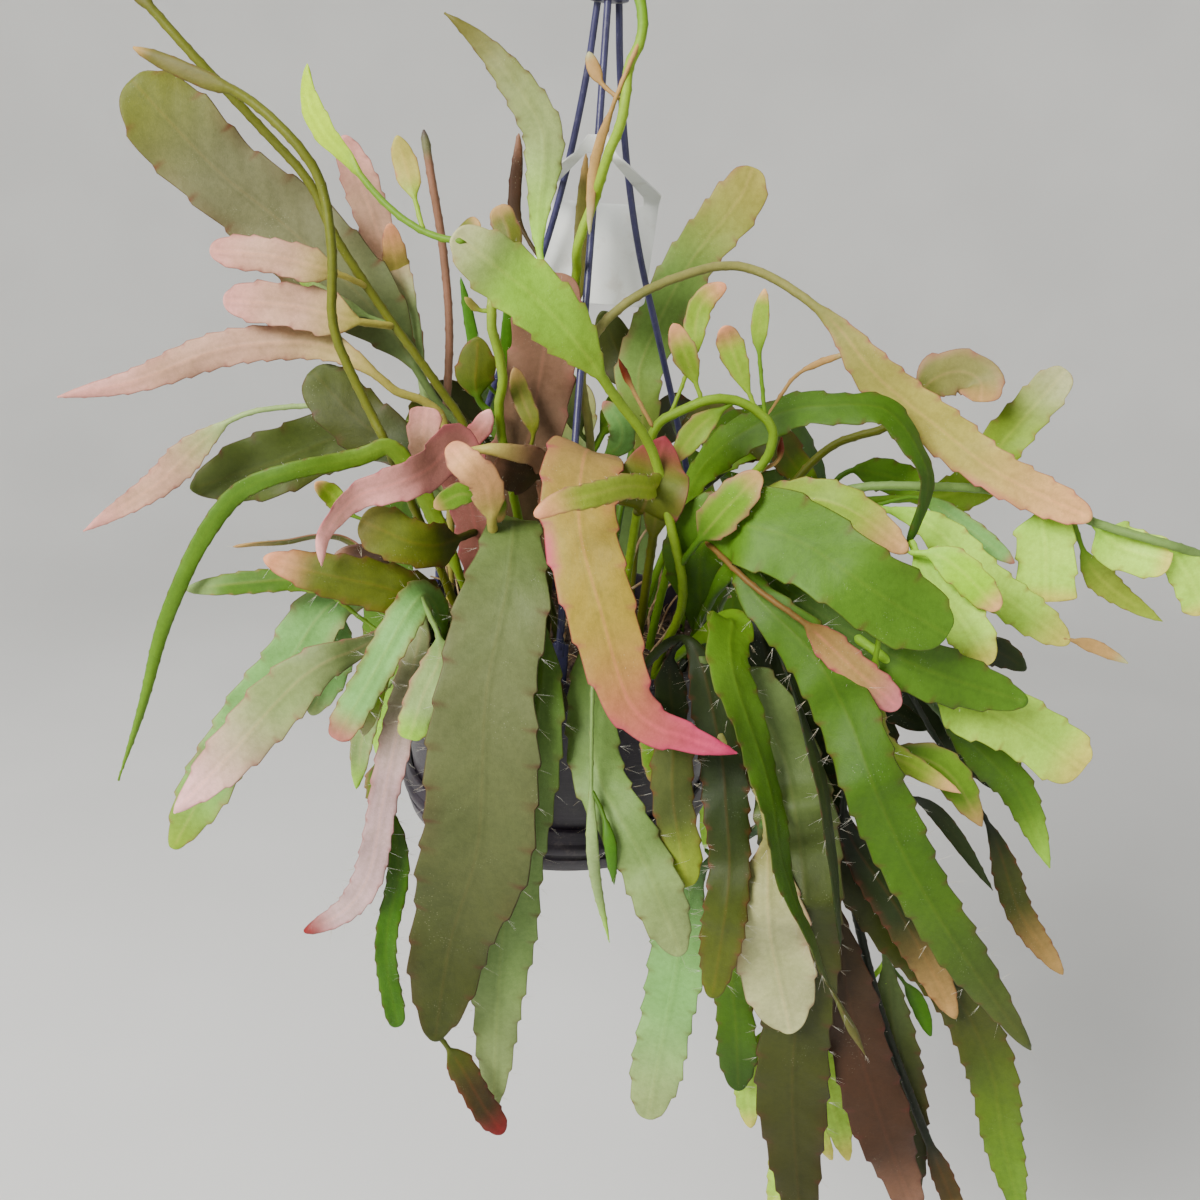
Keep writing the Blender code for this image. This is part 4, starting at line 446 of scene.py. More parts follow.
# Every shoot, nearest the front first: its foot in the soil or the shoot it forks from, its tint, its
# width, and the places its rib passes, in millimetres from the middle of the rim. The neck is the round
# part's share of the length, full the blade's share over which it widens, and tip how blunt it ends.
# A turn twists the blade from neck to tip, and a joined shoot has grown together with another
shoots = {
    "cross_front": dict(foot=(33, -30), tint="olive_blush", wide=10, neck=0.42, tip=2.6, full=0.15,
        joined="loop_stem", path=[(35, -60, 75), (30, -80, 85), (20, -100, 90), (10, -115, 90),
        (0, -125, 90), (-10, -130, 85)]),
    "pink_bow": dict(foot=(13, -40), tint="bow_pink", wide=29, neck=0.3, tip=1.6, full=0.25,
        path=[(10, -40, 70), (5, -70, 95), (5, -100, 75), (15, -120, 50), (30, -130, 15), (50, -130, 5),
        (70, -130, 0)]),
    "long_green": dict(foot=(42, -38), tint="lime_tan", wide=21, neck=0.66, tip=2.6, joined="loop_stem",
        path=[(50, -50, 30), (40, -65, 70), (30, -75, 100), (15, -85, 120), (0, -95, 140),
        (-15, -100, 155), (-30, -100, 165), (-45, -100, 175)]),
    "lime_twist": dict(forks="long_green", tint="bright_lime", wide=14, neck=0.45, tip=1.5, full=0.85,
        turn=(0, 55), path=[(-45, -105, 165), (-55, -105, 175), (-70, -105, 185), (-80, -100, 195),
        (-90, -100, 205), (-95, -100, 215), (-95, -100, 225)]),
    "lime_bud": dict(forks="lime_twist", tint="tan_yellow", wide=8, neck=0.35, path=[(-55, -105, 175),
        (-60, -100, 190), (-65, -100, 205)]),
    "folded_bud": dict(forks="long_green", tint="olive_pink", wide=8, neck=0.1, tip=2.4, turn=(35, 35),
        path=[(-45, -105, 165), (-40, -110, 175), (-35, -110, 180)]),
    "upright_bud": dict(forks="long_green", tint="olive_pink", wide=9, neck=0.15, tip=2.6, full=0.3,
        path=[(-25, -105, 165), (-25, -105, 175), (-30, -105, 185)]),
    "front_bract": dict(forks="loop_stem", tint="olive_pink", wide=31, neck=0.25, tip=1.5, full=0.45,
        path=[(35, -65, 55), (30, -80, 80), (35, -75, 105)]),
    "loop_stem": dict(foot=(24, -20), tint="green", wide=4, neck=1, path=[(30, -50, 95), (35, -50, 105),
        (50, -50, 115), (65, -45, 115), (80, -40, 105), (80, -35, 90), (70, -30, 75)]),
    "loop_bud_1": dict(forks="loop_stem", tint="bud_coral", wide=11, neck=0.12, tip=2.1, full=0.62,
        path=[(50, -50, 115), (45, -50, 125), (40, -55, 135), (35, -55, 145)]),
    "loop_bud_2": dict(forks="loop_stem", tint="bud_coral", wide=11, neck=0.12, tip=2.3, full=0.62,
        path=[(70, -40, 110), (65, -45, 125), (60, -45, 135), (55, -50, 145)]),
    "loop_bud_3": dict(forks="loop_stem", tint="lime_pink", wide=7, neck=0.45, tip=1.9, full=0.5,
        path=[(75, -40, 110), (70, -45, 140), (70, -45, 160)]),
    "loop_bud_4": dict(forks="loop_stem", tint="bud_coral", wide=10, neck=0.4, tip=2.3, full=0.5,
        path=[(40, -50, 100), (40, -45, 115), (45, -45, 135), (45, -40, 150), (55, -40, 160)]),
    "loop_leaf": dict(forks="loop_stem", tint="lime_pink", wide=12, neck=0.1, tip=1.8, full=0.5,
        path=[(65, -45, 115), (50, -50, 105), (40, -55, 90)]),
    "red_needle_1": dict(forks="loop_stem", tint="red_tan", wide=3, neck=0.5, tip=1.4,
        path=[(30, -50, 105), (20, -50, 120), (15, -55, 130)]),
    "red_needle_2": dict(forks="loop_stem", tint="red_tan", wide=3, neck=0.5, tip=1.4,
        path=[(75, -35, 85), (85, -35, 90), (85, -35, 100)]),
    "green_paddle": dict(forks="long_green", tint="green_pink", wide=17, neck=0.3, tip=2.2,
        path=[(55, -55, 50), (60, -60, 70), (75, -60, 90)]),
    "coral_leaf": dict(foot=(-28, -42), tint="coral", wide=13, neck=0.7, tip=2.5, full=0.3,
        joined="giant_olive", path=[(-30, -90, 80), (-40, -100, 95), (-45, -95, 100)]),
    "mauve_leaf_1": dict(foot=(-8, -27), tint="mauve_pink", wide=9, neck=0.3, path=[(-10, -60, 80),
        (-25, -80, 95), (-40, -80, 95)]),
    "mauve_leaf_2": dict(forks="mauve_leaf_1", tint="mauve_dark", wide=17, neck=0.1, path=[(-10, -65, 80),
        (-20, -70, 85), (-30, -80, 90)]),
    "small_green_1": dict(forks="coral_leaf", tint="green_pink", wide=9, neck=0.15, path=[(-35, -90, 75),
        (-40, -90, 80), (-50, -95, 75)]),
    "small_green_2": dict(forks="coral_leaf", tint="green_pink", wide=11, neck=0.1, path=[(-30, -85, 80),
        (-30, -90, 80), (-25, -90, 70)]),
    "giant_olive": dict(foot=(-18, -52), tint="olive_deep", wide=44, neck=0.06, tip=2.2, full=0.6,
        path=[(-20, -60, 45), (-20, -85, 70), (-20, -110, 50), (-25, -120, 10), (-25, -125, -50),
        (-35, -120, -100), (-40, -120, -150)]),
    "red_spur": dict(forks="giant_olive", tint="olive_red", wide=13, neck=0.15, tip=2.4, full=0.25,
        path=[(-35, -120, -145), (-30, -110, -170), (-20, -105, -195), (-10, -100, -215)]),
    "mint_red_tip": dict(foot=(-51, -32), tint="mint_red", wide=14, tip=2.9, full=0.3,
        joined="pale_ribbon", path=[(-55, -70, 30), (-60, -90, 30), (-70, -100, 10), (-85, -105, -20)]),
    "mint_short": dict(forks="mint_red_tip", tint="mint_yellow", wide=13, neck=0.3, tip=2.9, full=0.3,
        path=[(-45, -85, 35), (-45, -100, 20), (-50, -110, 5), (-55, -110, -15)]),
    "yellow_tip": dict(forks="mint_red_tip", tint="lime_tan", wide=10, path=[(-60, -85, 25),
        (-70, -95, 5), (-75, -100, -20)]),
    "pale_ribbon": dict(foot=(-40, -40), tint="blush_mint", wide=13, neck=0.28, tip=2.4, full=0.2,
        path=[(-55, -75, 35), (-55, -90, 20), (-60, -100, -10), (-65, -105, -40), (-70, -105, -75),
        (-75, -105, -90), (-85, -100, -105), (-100, -100, -115)]),
    "pale_strip": dict(forks="pale_ribbon", tint="mint_yellow", wide=11, neck=0.25, tip=1.6,
        path=[(-65, -85, 10), (-75, -90, -15), (-80, -90, -50)]),
    "bright_strip": dict(forks="pale_ribbon", tint="bright_green", wide=10, neck=0.35, tip=2.8, full=0.2,
        path=[(-50, -90, 20), (-55, -95, -15), (-65, -100, -45), (-60, -100, -80), (-65, -100, -120),
        (-60, -95, -165)]),
    "brown_edge": dict(forks="giant_olive", tint="mauve_pink", wide=15, path=[(-20, -95, 45),
        (-35, -105, 25), (-40, -110, -15), (-40, -110, -60), (-40, -110, -115)]),
    "pale_behind": dict(foot=(-6, -48), tint="mint", wide=28, tip=1.9, full=0.3, path=[(-10, -85, 35),
        (-5, -100, 10), (-10, -110, -35), (-15, -110, -110), (-15, -105, -200)]),
    "dark_chip": dict(forks="pale_behind", tint="olive_deep", wide=11, neck=0.1, path=[(-5, -90, 25),
        (-5, -95, 10), (5, -95, -5)]),
    "narrow_mint_1": dict(forks="mint_fall", tint="mint_yellow", wide=5, neck=0.35, tip=1.4,
        path=[(10, -90, 40), (15, -105, 5), (20, -110, -60), (30, -105, -105)]),
    "narrow_mint_2": dict(forks="narrow_mint_1", tint="bright_green", wide=5, tip=1.4,
        path=[(20, -105, -30), (25, -105, -50), (30, -100, -80)]),
    "mint_fall": dict(foot=(20, -50), tint="mint", wide=22, tip=2.5, full=0.3, path=[(15, -90, 25),
        (15, -105, 5), (20, -110, -25), (40, -110, -60), (60, -110, -105)]),
    "green_tongue": dict(forks="mint_fall", tint="lime_pink", wide=17, neck=0.3, tip=2.6,
        path=[(35, -85, 25), (45, -100, -5), (50, -105, -35), (60, -105, -75)]),
    "pink_nib": dict(forks="green_tongue", tint="green_pink", wide=12, neck=0.15, tip=2.6,
        path=[(40, -100, 5), (40, -110, -10), (45, -110, -25)]),
    "bright_arch": dict(foot=(-38, -16), tint="arch_green", wide=8, neck=0.1, tip=1.5, full=0.12,
        turn=(40, -20), path=[(-70, -45, 80), (-90, -50, 80), (-115, -60, 75), (-135, -60, 65),
        (-150, -60, 45), (-160, -60, 25), (-170, -60, 0), (-180, -60, -35), (-195, -55, -75)]),
    "pink_curl": dict(foot=(-30, -28), tint="rose", wide=20, neck=0.12, tip=1.65, full=0.25, turn=(0, 35),
        path=[(-45, -60, 85), (-55, -70, 85), (-65, -80, 80), (-80, -80, 75), (-90, -85, 65),
        (-95, -85, 55), (-95, -85, 45)]),
    "mid_leaf": dict(forks="pink_curl", tint="olive_pink", wide=20, tip=2.6, full=0.3,
        path=[(-40, -65, 45), (-55, -80, 55), (-80, -85, 65)]),
    "orange_leaf": dict(foot=(-54, -14), tint="green_orange", wide=21, tip=2.2, path=[(-55, -80, 30),
        (-70, -90, 40), (-90, -95, 45), (-115, -95, 50)]),
    "maroon_leaf": dict(forks="orange_leaf", tint="mauve_dark", wide=9, path=[(-60, -85, 40),
        (-75, -85, 50), (-90, -85, 50)]),
    "hairy_edge": dict(forks="orange_leaf", tint="olive_pink", wide=10, neck=0.1, tip=1.8, turn=(75, 75),
        path=[(-70, -60, 45), (-90, -65, 50), (-110, -70, 50), (-135, -70, 45)]),
    "thin_wand": dict(foot=(-48, -8), tint="olive_tan", wide=7, neck=0.84, path=[(-75, -45, 80),
        (-85, -45, 100), (-95, -45, 120), (-100, -45, 135), (-100, -45, 160), (-105, -40, 185),
        (-115, -40, 200), (-135, -35, 215), (-150, -35, 220), (-180, -30, 230)]),
    "blush_up": dict(foot=(-22, -16), tint="blush_mint", wide=14, neck=0.68, tip=3, full=0.25,
        path=[(-60, -50, 85), (-60, -55, 95), (-60, -55, 105)]),
    "pink_dot": dict(forks="blush_up", tint="rose", wide=9, neck=0.4, path=[(-50, -50, 85),
        (-40, -50, 95), (-35, -50, 105)]),
    "vertical_stem": dict(foot=(-10, -14), tint="yellow_green", wide=3, neck=1, path=[(-30, -50, 95),
        (-30, -55, 120), (-35, -60, 140), (-35, -60, 150)]),
    "stem_bud": dict(forks="vertical_stem", tint="tan_yellow", wide=3, path=[(-35, -60, 145),
        (-40, -60, 145), (-45, -65, 150)]),
    "stem_leaf": dict(forks="vertical_stem", tint="deep_red", wide=18, neck=0.3, tip=1.8,
        path=[(-30, -55, 100), (-40, -55, 110), (-40, -60, 120), (-40, -60, 135)]),
    "olive_bud": dict(forks="vertical_stem", tint="olive_pink", wide=9, neck=0.35, path=[(-30, -50, 85),
        (-15, -60, 95), (-20, -65, 110), (-25, -65, 125)]),
    "big_mauve": dict(foot=(-4, -3), tint="mauve_brown", wide=29, neck=0.12, tip=3, path=[(-25, -30, 65),
        (-20, -40, 90), (-15, -45, 130), (-15, -45, 160)]),
    "tall_pale": dict(forks="big_mauve", tint="tall_olive", wide=17, neck=0.04, tip=1.3, full=0.5,
        path=[(-20, -45, 155), (-20, -40, 170), (-20, -40, 190), (-20, -40, 210), (-30, -40, 225),
        (-45, -35, 240), (-60, -35, 250)]),
    "maroon_sliver": dict(forks="tall_pale", tint="mauve_dark", wide=5, neck=0.15, path=[(-20, -40, 165),
        (-30, -35, 180), (-30, -35, 195), (-30, -35, 210)]),
    "lime_strip": dict(forks="big_mauve", tint="bright_green", wide=6, tip=1.6, path=[(-25, -35, 95),
        (-30, -35, 120), (-30, -40, 145), (-35, -40, 165)]),
    "lime_strip_2": dict(forks="lime_strip", tint="bright_green", wide=5, neck=0.3, tip=1.6,
        path=[(-30, -35, 100), (-40, -40, 115), (-45, -40, 135), (-50, -40, 155)]),
    "green_top": dict(foot=(6, 4), tint="green", wide=4, neck=0.86, path=[(-10, -5, 90), (-10, -15, 125),
        (-5, -20, 155), (-5, -30, 170), (0, -30, 185), (5, -35, 205), (10, -35, 220), (10, -35, 235),
        (15, -35, 250), (10, -30, 265), (5, -30, 275)]),
    "tan_dry": dict(forks="green_top", tint="tan", wide=4, neck=0.3, path=[(15, -35, 245), (10, -40, 235),
        (5, -40, 220), (0, -45, 200), (0, -45, 175)]),
    "tan_bud": dict(forks="green_top", tint="tan", wide=5, neck=0.5, path=[(10, -35, 225), (0, -40, 230),
        (-5, -40, 240)]),
    "mint_back_tag": dict(forks="green_top", tint="olive_tan", wide=6, neck=0.3, path=[(-5, -15, 95),
        (-5, -5, 145), (-5, 0, 180), (-5, 0, 205)]),
    "long_arch": dict(foot=(16, -6), tint="butter_pink", wide=20, neck=0.61, tip=2.5, path=[(5, -15, 90),
        (0, -25, 115), (5, -20, 135), (20, -15, 150), (40, -10, 160), (60, -5, 165), (80, -5, 160),
        (105, -10, 145), (125, -15, 125), (155, -20, 105), (180, -30, 90), (220, -35, 75)]),
    "mint_strip": dict(forks="long_arch", tint="mint_yellow", wide=11, neck=0.15, tip=1.6,
        path=[(-5, -10, 85), (0, -25, 95), (-5, -30, 120)]),
    "pink_edge_leaf": dict(forks="long_arch", tint="mint_red", wide=12, path=[(30, -20, 80),
        (20, -35, 95), (10, -40, 110)]),
    "big_green": dict(foot=(63, -26), tint="glaucous", wide=32, neck=0.12, tip=2.7, full=0.35,
        path=[(55, -60, 55), (65, -70, 70), (90, -85, 70), (120, -95, 55), (150, -95, 40)]),
    "pink_tongue": dict(forks="big_green", tint="blush_green", wide=14, neck=0.5, tip=2.5, full=0.3,
        path=[(65, -70, 55), (75, -85, 50), (95, -95, 40), (115, -100, 25), (135, -100, 10)]),
    "long_diagonal": dict(foot=(54, -34), tint="diag_green", wide=25, neck=0.12, tip=1.9, full=0.45,
        joined="big_green", path=[(65, -80, 55), (75, -100, 50), (95, -110, 35), (110, -115, 15),
        (125, -120, -15), (145, -120, -50), (170, -120, -85), (210, -115, -135)]),
    "bright_fold": dict(foot=(41, -53), tint="fold_green", wide=20, neck=0.12, tip=1.25, full=0.2,
        turn=(10, 98), path=[(65, -85, 35), (65, -105, 30), (70, -110, 15), (85, -115, -20),
        (95, -120, -55), (115, -125, -95), (140, -120, -140)]),
    "green_hang": dict(foot=(31, -60), tint="hang_dark", wide=18, neck=0.25, tip=2.5, full=0.25,
        path=[(50, -95, 30), (65, -110, -5), (70, -115, -30), (75, -115, -65), (75, -110, -125)]),
    "small_dark": dict(forks="green_hang", tint="shade_green", wide=13, neck=0.15, path=[(50, -90, 35),
        (45, -95, 30), (45, -100, 10), (50, -100, -10)]),
    "tan_teeth": dict(forks="long_diagonal", tint="shade_green", wide=7, tip=1.6, turn=(40, 60),
        path=[(75, -95, 50), (90, -105, 20), (105, -110, -15), (115, -110, -50), (125, -110, -95)]),
    "strip_leaf": dict(forks="big_green", tint="bright_green", wide=7, neck=0.15, tip=1.6,
        path=[(65, -75, 55), (70, -85, 50), (80, -95, 40), (90, -100, 30)]),
    "pale_big": dict(forks="green_hang", tint="pale_mint", wide=33, neck=0.3, tip=2.2,
        path=[(70, -105, 0), (85, -110, -30), (90, -110, -55), (95, -110, -90), (110, -110, -140)]),
    "dark_long": dict(forks="green_hang", tint="olive_deep", wide=31, neck=0.03, tip=2.4, full=0.06,
        path=[(65, -95, 25), (85, -105, 0), (100, -110, -40), (110, -110, -95), (115, -105, -170),
        (130, -105, -255)]),
    "dark_nib": dict(forks="pale_big", tint="green_deep", wide=18, neck=0.3, tip=2.4,
        path=[(90, -95, -75), (85, -90, -120), (90, -90, -155), (95, -90, -190)]),
    "grey_mint": dict(forks="pale_big", tint="grey_mint", wide=25, neck=0.25, tip=2.6,
        path=[(75, -95, -40), (65, -90, -80), (60, -90, -135), (55, -90, -210)]),
    "green_dip": dict(forks="long_diagonal", tint="dark_tan", wide=18, path=[(95, -105, -5),
        (120, -105, -40), (145, -105, -75), (165, -105, -105), (180, -105, -130)]),
    "yellow_side": dict(forks="big_green", tint="lime_pink", wide=13, tip=1.6, path=[(105, -90, 15),
        (125, -100, 0), (145, -100, -15), (165, -100, -25)]),
    "second_green": dict(foot=(62, -17), tint="glaucous", wide=25, neck=0.25, tip=2.3, full=0.35,
        path=[(75, -45, 45), (95, -65, 40), (120, -80, 30), (150, -85, 20), (190, -85, 10)]),
    "yellow_pink_side": dict(foot=(66, -6), tint="lime_pink", wide=19, neck=0.25, tip=2.3,
        path=[(80, -30, 60), (95, -40, 75), (115, -50, 75), (140, -55, 60)]),
    "yellow_pink_tip": dict(forks="yellow_pink_side", tint="lime_pink", wide=15, neck=0.1, tip=2.3,
        path=[(140, -55, 60), (155, -60, 60), (180, -60, 40)]),
    "dark_arch": dict(foot=(40, -6), tint="green_deep", wide=20, tip=1.6, turn=(0, 62),
        path=[(50, -15, 65), (55, -20, 80), (65, -30, 95), (85, -35, 110), (105, -40, 115),
        (125, -40, 115), (140, -45, 100), (145, -50, 85), (140, -50, 60)]),
    "dark_arch_end": dict(forks="dark_arch", tint="lime_glow", wide=20, neck=0.08, tip=2.5, full=0.3,
        path=[(140, -50, 65), (150, -55, 50), (165, -60, 35), (180, -60, 15)]),
    "green_right": dict(forks="yellow_pink_side", tint="lime_glow", wide=19, neck=0.3, tip=2.3,
        path=[(100, -20, 65), (130, -25, 70), (155, -30, 65), (180, -40, 45), (220, -40, 20)]),
    "orange_nib": dict(forks="green_right", tint="tan", wide=6, neck=0.1, tip=1.6, path=[(215, -40, 20),
        (230, -40, 20), (245, -45, 15)]),
    "pink_edge_side": dict(forks="green_right", tint="mint_red", wide=10, neck=0.25, path=[(130, -25, 75),
        (150, -20, 75), (170, -25, 65), (195, -25, 50)]),
    "light_side": dict(forks="second_green", tint="lime_glow", wide=27, neck=0.3, tip=2.7, full=0.3,
        path=[(120, -70, 25), (155, -65, 5), (190, -70, -5), (225, -70, -25)]),
    "narrow_tan": dict(forks="second_green", tint="dark_tan", wide=13, neck=0.5, path=[(130, -70, 20),
        (160, -70, -15), (190, -75, -55), (210, -75, -95), (235, -75, -125)]),
    "pale_point": dict(forks="second_green", tint="lime_green", wide=19, neck=0.3, tip=1.4,
        path=[(130, -70, 20), (160, -60, -5), (190, -60, -30), (205, -60, -45), (225, -60, -80)]),
    "dark_side": dict(forks="green_dip", tint="green_pink", wide=17, neck=0.3, tip=1.5,
        path=[(105, -100, -20), (135, -90, -15), (160, -90, -20), (180, -90, -45)]),
    "narrow_side": dict(forks="green_dip", tint="shade_green", wide=7, neck=0.3, tip=1.4,
        path=[(125, -105, -45), (140, -100, -30), (160, -90, -40), (190, -90, -75)]),
    "dark_chip_2": dict(forks="second_green", tint="shade_green", wide=11, neck=0.4, path=[(100, -60, 35),
        (125, -70, 5), (155, -75, -10)]),
    "small_side": dict(forks="light_side", tint="shade_green", wide=13, path=[(155, -65, 10),
        (180, -55, 20), (200, -50, 10)]),
    "olive_low": dict(foot=(52, -43), tint="low_green", wide=23, neck=0.25, full=0.25,
        path=[(65, -80, 25), (100, -90, -30), (140, -100, -80), (175, -100, -115), (200, -100, -155),
        (215, -100, -200), (235, -95, -250)]),
    "mauve_low": dict(forks="olive_low", tint="mauve_dark", wide=27, neck=0.22, path=[(95, -90, -15),
        (120, -100, -80), (140, -100, -145), (160, -105, -195), (185, -100, -250)]),
    "tan_low": dict(forks="olive_low", tint="dark_tan", wide=10, neck=0.72, path=[(125, -90, -60),
        (150, -90, -135), (175, -90, -190), (210, -90, -260)]),
    "olive_back_low": dict(forks="olive_low", tint="olive_deep", wide=22, neck=0.3, path=[(115, -90, -50),
        (145, -85, -95), (160, -85, -150), (175, -85, -205), (185, -80, -265)]),
    "tiny_low": dict(forks="olive_back_low", tint="bright_green", wide=7, neck=0.3,
        path=[(155, -85, -120), (170, -80, -140), (180, -80, -160)]),
    "bright_low_1": dict(forks="dark_long", tint="lime_glow", wide=14, neck=0.35, path=[(105, -105, -115),
        (105, -90, -155), (100, -85, -190), (105, -80, -220)]),
    "bright_low_2": dict(forks="dark_long", tint="lime_glow", wide=14, neck=0.3, path=[(115, -105, -150),
        (120, -90, -205), (120, -90, -265)]),
    "bright_low_3": dict(forks="olive_back_low", tint="lime_glow", wide=14, neck=0.3,
        path=[(145, -85, -120), (135, -75, -170), (140, -75, -200), (155, -75, -240)]),
    "bright_low_4": dict(forks="olive_back_low", tint="lime_glow", wide=13, neck=0.3,
        path=[(145, -80, -130), (130, -70, -190), (135, -65, -220), (150, -65, -250)]),
    "teal_wand": dict(foot=(66, 8), tint="teal_wand", wide=9, neck=0.88, path=[(85, -5, 50),
        (95, -10, 60), (120, -15, 75), (150, -20, 80), (190, -20, 80), (230, -25, 70), (275, -25, 60),
        (305, -20, 45)]),
    "wand_leaf_1": dict(forks="teal_wand", tint="lime_glow", wide=25, neck=0.08, tip=3, full=0.2,
        path=[(200, -20, 75), (205, -30, 60), (210, -30, 35)]),
    "wand_leaf_2": dict(forks="teal_wand", tint="lime_glow", wide=21, neck=0.1, tip=2.6, full=0.25,
        path=[(225, -25, 75), (240, -20, 60), (265, -20, 55)]),
    "wand_leaf_3": dict(forks="teal_wand", tint="yellow_green", wide=13, tip=1.3, path=[(215, -25, 75),
        (230, -20, 50), (250, -15, 35), (270, -15, 25)]),
    "wand_leaf_4": dict(forks="teal_wand", tint="lime_glow", wide=16, neck=0.1, tip=2.8, full=0.25,
        path=[(260, -25, 65), (270, -30, 50), (280, -30, 35)]),
    "curled_leaf": dict(forks="upright_right", tint="olive_pink", wide=20, neck=0.66, tip=2.8, full=0.3,
        path=[(80, 20, 65), (115, 20, 85), (140, 10, 100), (150, 10, 115), (160, 10, 125), (175, 10, 125),
        (175, 0, 115)]),
    "upright_right": dict(foot=(56, 28), tint="lime_tan", wide=20, neck=0.58, tip=2.8, full=0.35,
        path=[(90, 25, 50), (135, 25, 60), (180, 20, 70), (195, 20, 95), (215, 15, 130)]),
    "tan_thread": dict(forks="dark_arch", tint="tan", wide=3, neck=0.5, path=[(75, -30, 110),
        (90, -25, 125), (110, -25, 135)]),
    "mid_back_leaf": dict(forks="upright_right", tint="lime_green", wide=16, neck=0.3, tip=2.4,
        path=[(115, 25, 60), (125, 20, 75), (145, 15, 75), (165, 15, 70)]),
    "far_wand": dict(foot=(-40, 8), tint="olive_tan", wide=6, neck=0.93, path=[(-50, 5, 80), (-55, 5, 90),
        (-70, 5, 110), (-90, 5, 135), (-110, 0, 165), (-120, 0, 185), (-140, 0, 205), (-165, -5, 230),
        (-180, -5, 245), (-195, -5, 260)]),
    "blush_side_1": dict(forks="far_wand", tint="blush", wide=16, tip=2.4, full=0.3, path=[(-95, 5, 145),
        (-110, -5, 150), (-135, -10, 155), (-160, -10, 155)]),
    "blush_side_2": dict(forks="far_wand", tint="blush", wide=20, tip=2.4, full=0.3, path=[(-85, 5, 130),
        (-100, -5, 130), (-125, -10, 135), (-155, -10, 135)]),
    "lime_side": dict(forks="far_wand", tint="mint_yellow", wide=7, path=[(-90, 5, 120), (-110, 10, 135),
        (-130, 15, 145)]),
    "great_pale": dict(foot=(-30, 16), tint="silver_green", wide=38, neck=0.44, tip=2.7, full=0.3,
        path=[(-45, 15, 70), (-65, 20, 90), (-90, 20, 125), (-115, 15, 150), (-140, 15, 170),
        (-160, 10, 185), (-180, 5, 205), (-195, 5, 220)]),
    "grey_pink_up": dict(foot=(-35, 27), tint="blush_mint", wide=17, neck=0.62, tip=2.4,
        path=[(-70, 20, 85), (-80, 30, 130), (-95, 40, 155), (-105, 40, 180), (-115, 40, 205)]),
    "tan_up": dict(forks="grey_pink_up", tint="tan_pink", wide=12, neck=0.25, tip=2.4,
        path=[(-70, 30, 75), (-75, 25, 105), (-85, 25, 140), (-90, 20, 170)]),
    "grey_thin": dict(forks="grey_pink_up", tint="mauve_brown", wide=4, neck=0.9, path=[(-60, 35, 70),
        (-65, 40, 120), (-70, 45, 160), (-75, 45, 185), (-80, 45, 210)]),
    "blush_long": dict(foot=(-56, 6), tint="blush", wide=17, neck=0.45, tip=1.5, path=[(-60, 0, 85),
        (-80, -5, 100), (-100, -10, 115), (-120, -10, 120), (-155, -15, 115), (-190, -20, 100),
        (-225, -20, 90)]),
    "dark_oval": dict(forks="thin_wand", tint="deep_olive", wide=26, tip=2.6, full=0.25,
        path=[(-70, -15, 70), (-80, -20, 80), (-95, -20, 90), (-115, -20, 110)]),
    "blush_narrow": dict(forks="blush_long", tint="blush_mint", wide=15, neck=0.5, tip=1.3,
        path=[(-80, 5, 75), (-105, 0, 90), (-125, 0, 90), (-150, -5, 85), (-170, -5, 70), (-190, -5, 50),
        (-225, -5, 25)]),
    "dark_back": dict(forks="blush_long", tint="olive_deep", wide=32, full=0.3, path=[(-80, 20, 75),
        (-105, 20, 75), (-140, 15, 60), (-180, 10, 45)]),
    "mint_fork": dict(forks="thin_wand", tint="lime_pink", wide=10, neck=0.55, path=[(-85, -25, 40),
        (-95, -30, 50), (-105, -30, 60), (-110, -35, 65)]),
    "folded_pink": dict(foot=(-60, -24), tint="mint_pink_tip", wide=26, neck=0.32, tip=1.7, full=0.62,
        turn=(20, -10), path=[(-60, -40, 20), (-65, -70, 20), (-80, -80, 10), (-95, -90, 5),
        (-110, -90, -10), (-130, -95, -35), (-155, -95, -65)]),
    "pale_broken": dict(forks="folded_pink", tint="mint_yellow", wide=11, neck=0.25, path=[(-75, -65, 10),
        (-105, -65, 30), (-130, -70, 30), (-155, -70, 25)]),
    "mint_low_left": dict(foot=(-66, -6), tint="glow_pink", wide=24, neck=0.15, tip=2.4, full=0.35,
        path=[(-75, -30, 15), (-100, -45, 15), (-120, -50, -15), (-140, -55, -45), (-170, -60, -105)]),
    "mint_low_left_2": dict(forks="mint_low_left", tint="grey_mint", wide=19, neck=0.1,
        path=[(-95, -40, 15), (-100, -45, -10), (-110, -45, -40)]),
    "upper_right": dict(foot=(30, 34), tint="pale_blush", wide=25, neck=0.3, tip=2.8, path=[(30, 45, 75),
        (25, 50, 105), (30, 55, 125), (45, 60, 160), (65, 60, 190), (70, 60, 205)]),
    "olive_back": dict(forks="upper_right", tint="deep_olive", wide=21, path=[(30, 50, 85), (15, 60, 115),
        (5, 60, 135)]),
    # Dark leaves put deep in the plant's middle, where there is only shade: painted shade
    "shade_1": dict(forks="second_green", tint="shade_green", wide=31, neck=0.1, tip=2.4, full=0.25,
        path=[(75, -50, 45), (80, -65, 30), (90, -75, 5), (105, -80, -35), (115, -80, -80)]),
    "shade_2": dict(forks="second_green", tint="shade_green", wide=22, neck=0.1, tip=2.4,
        path=[(95, -60, 40), (115, -65, 15), (135, -70, -20), (145, -70, -65)]),
    "shade_3": dict(forks="second_green", tint="shade_green", wide=20, path=[(120, -60, 20),
        (150, -55, 0), (175, -55, -20), (195, -55, -45)]),
}

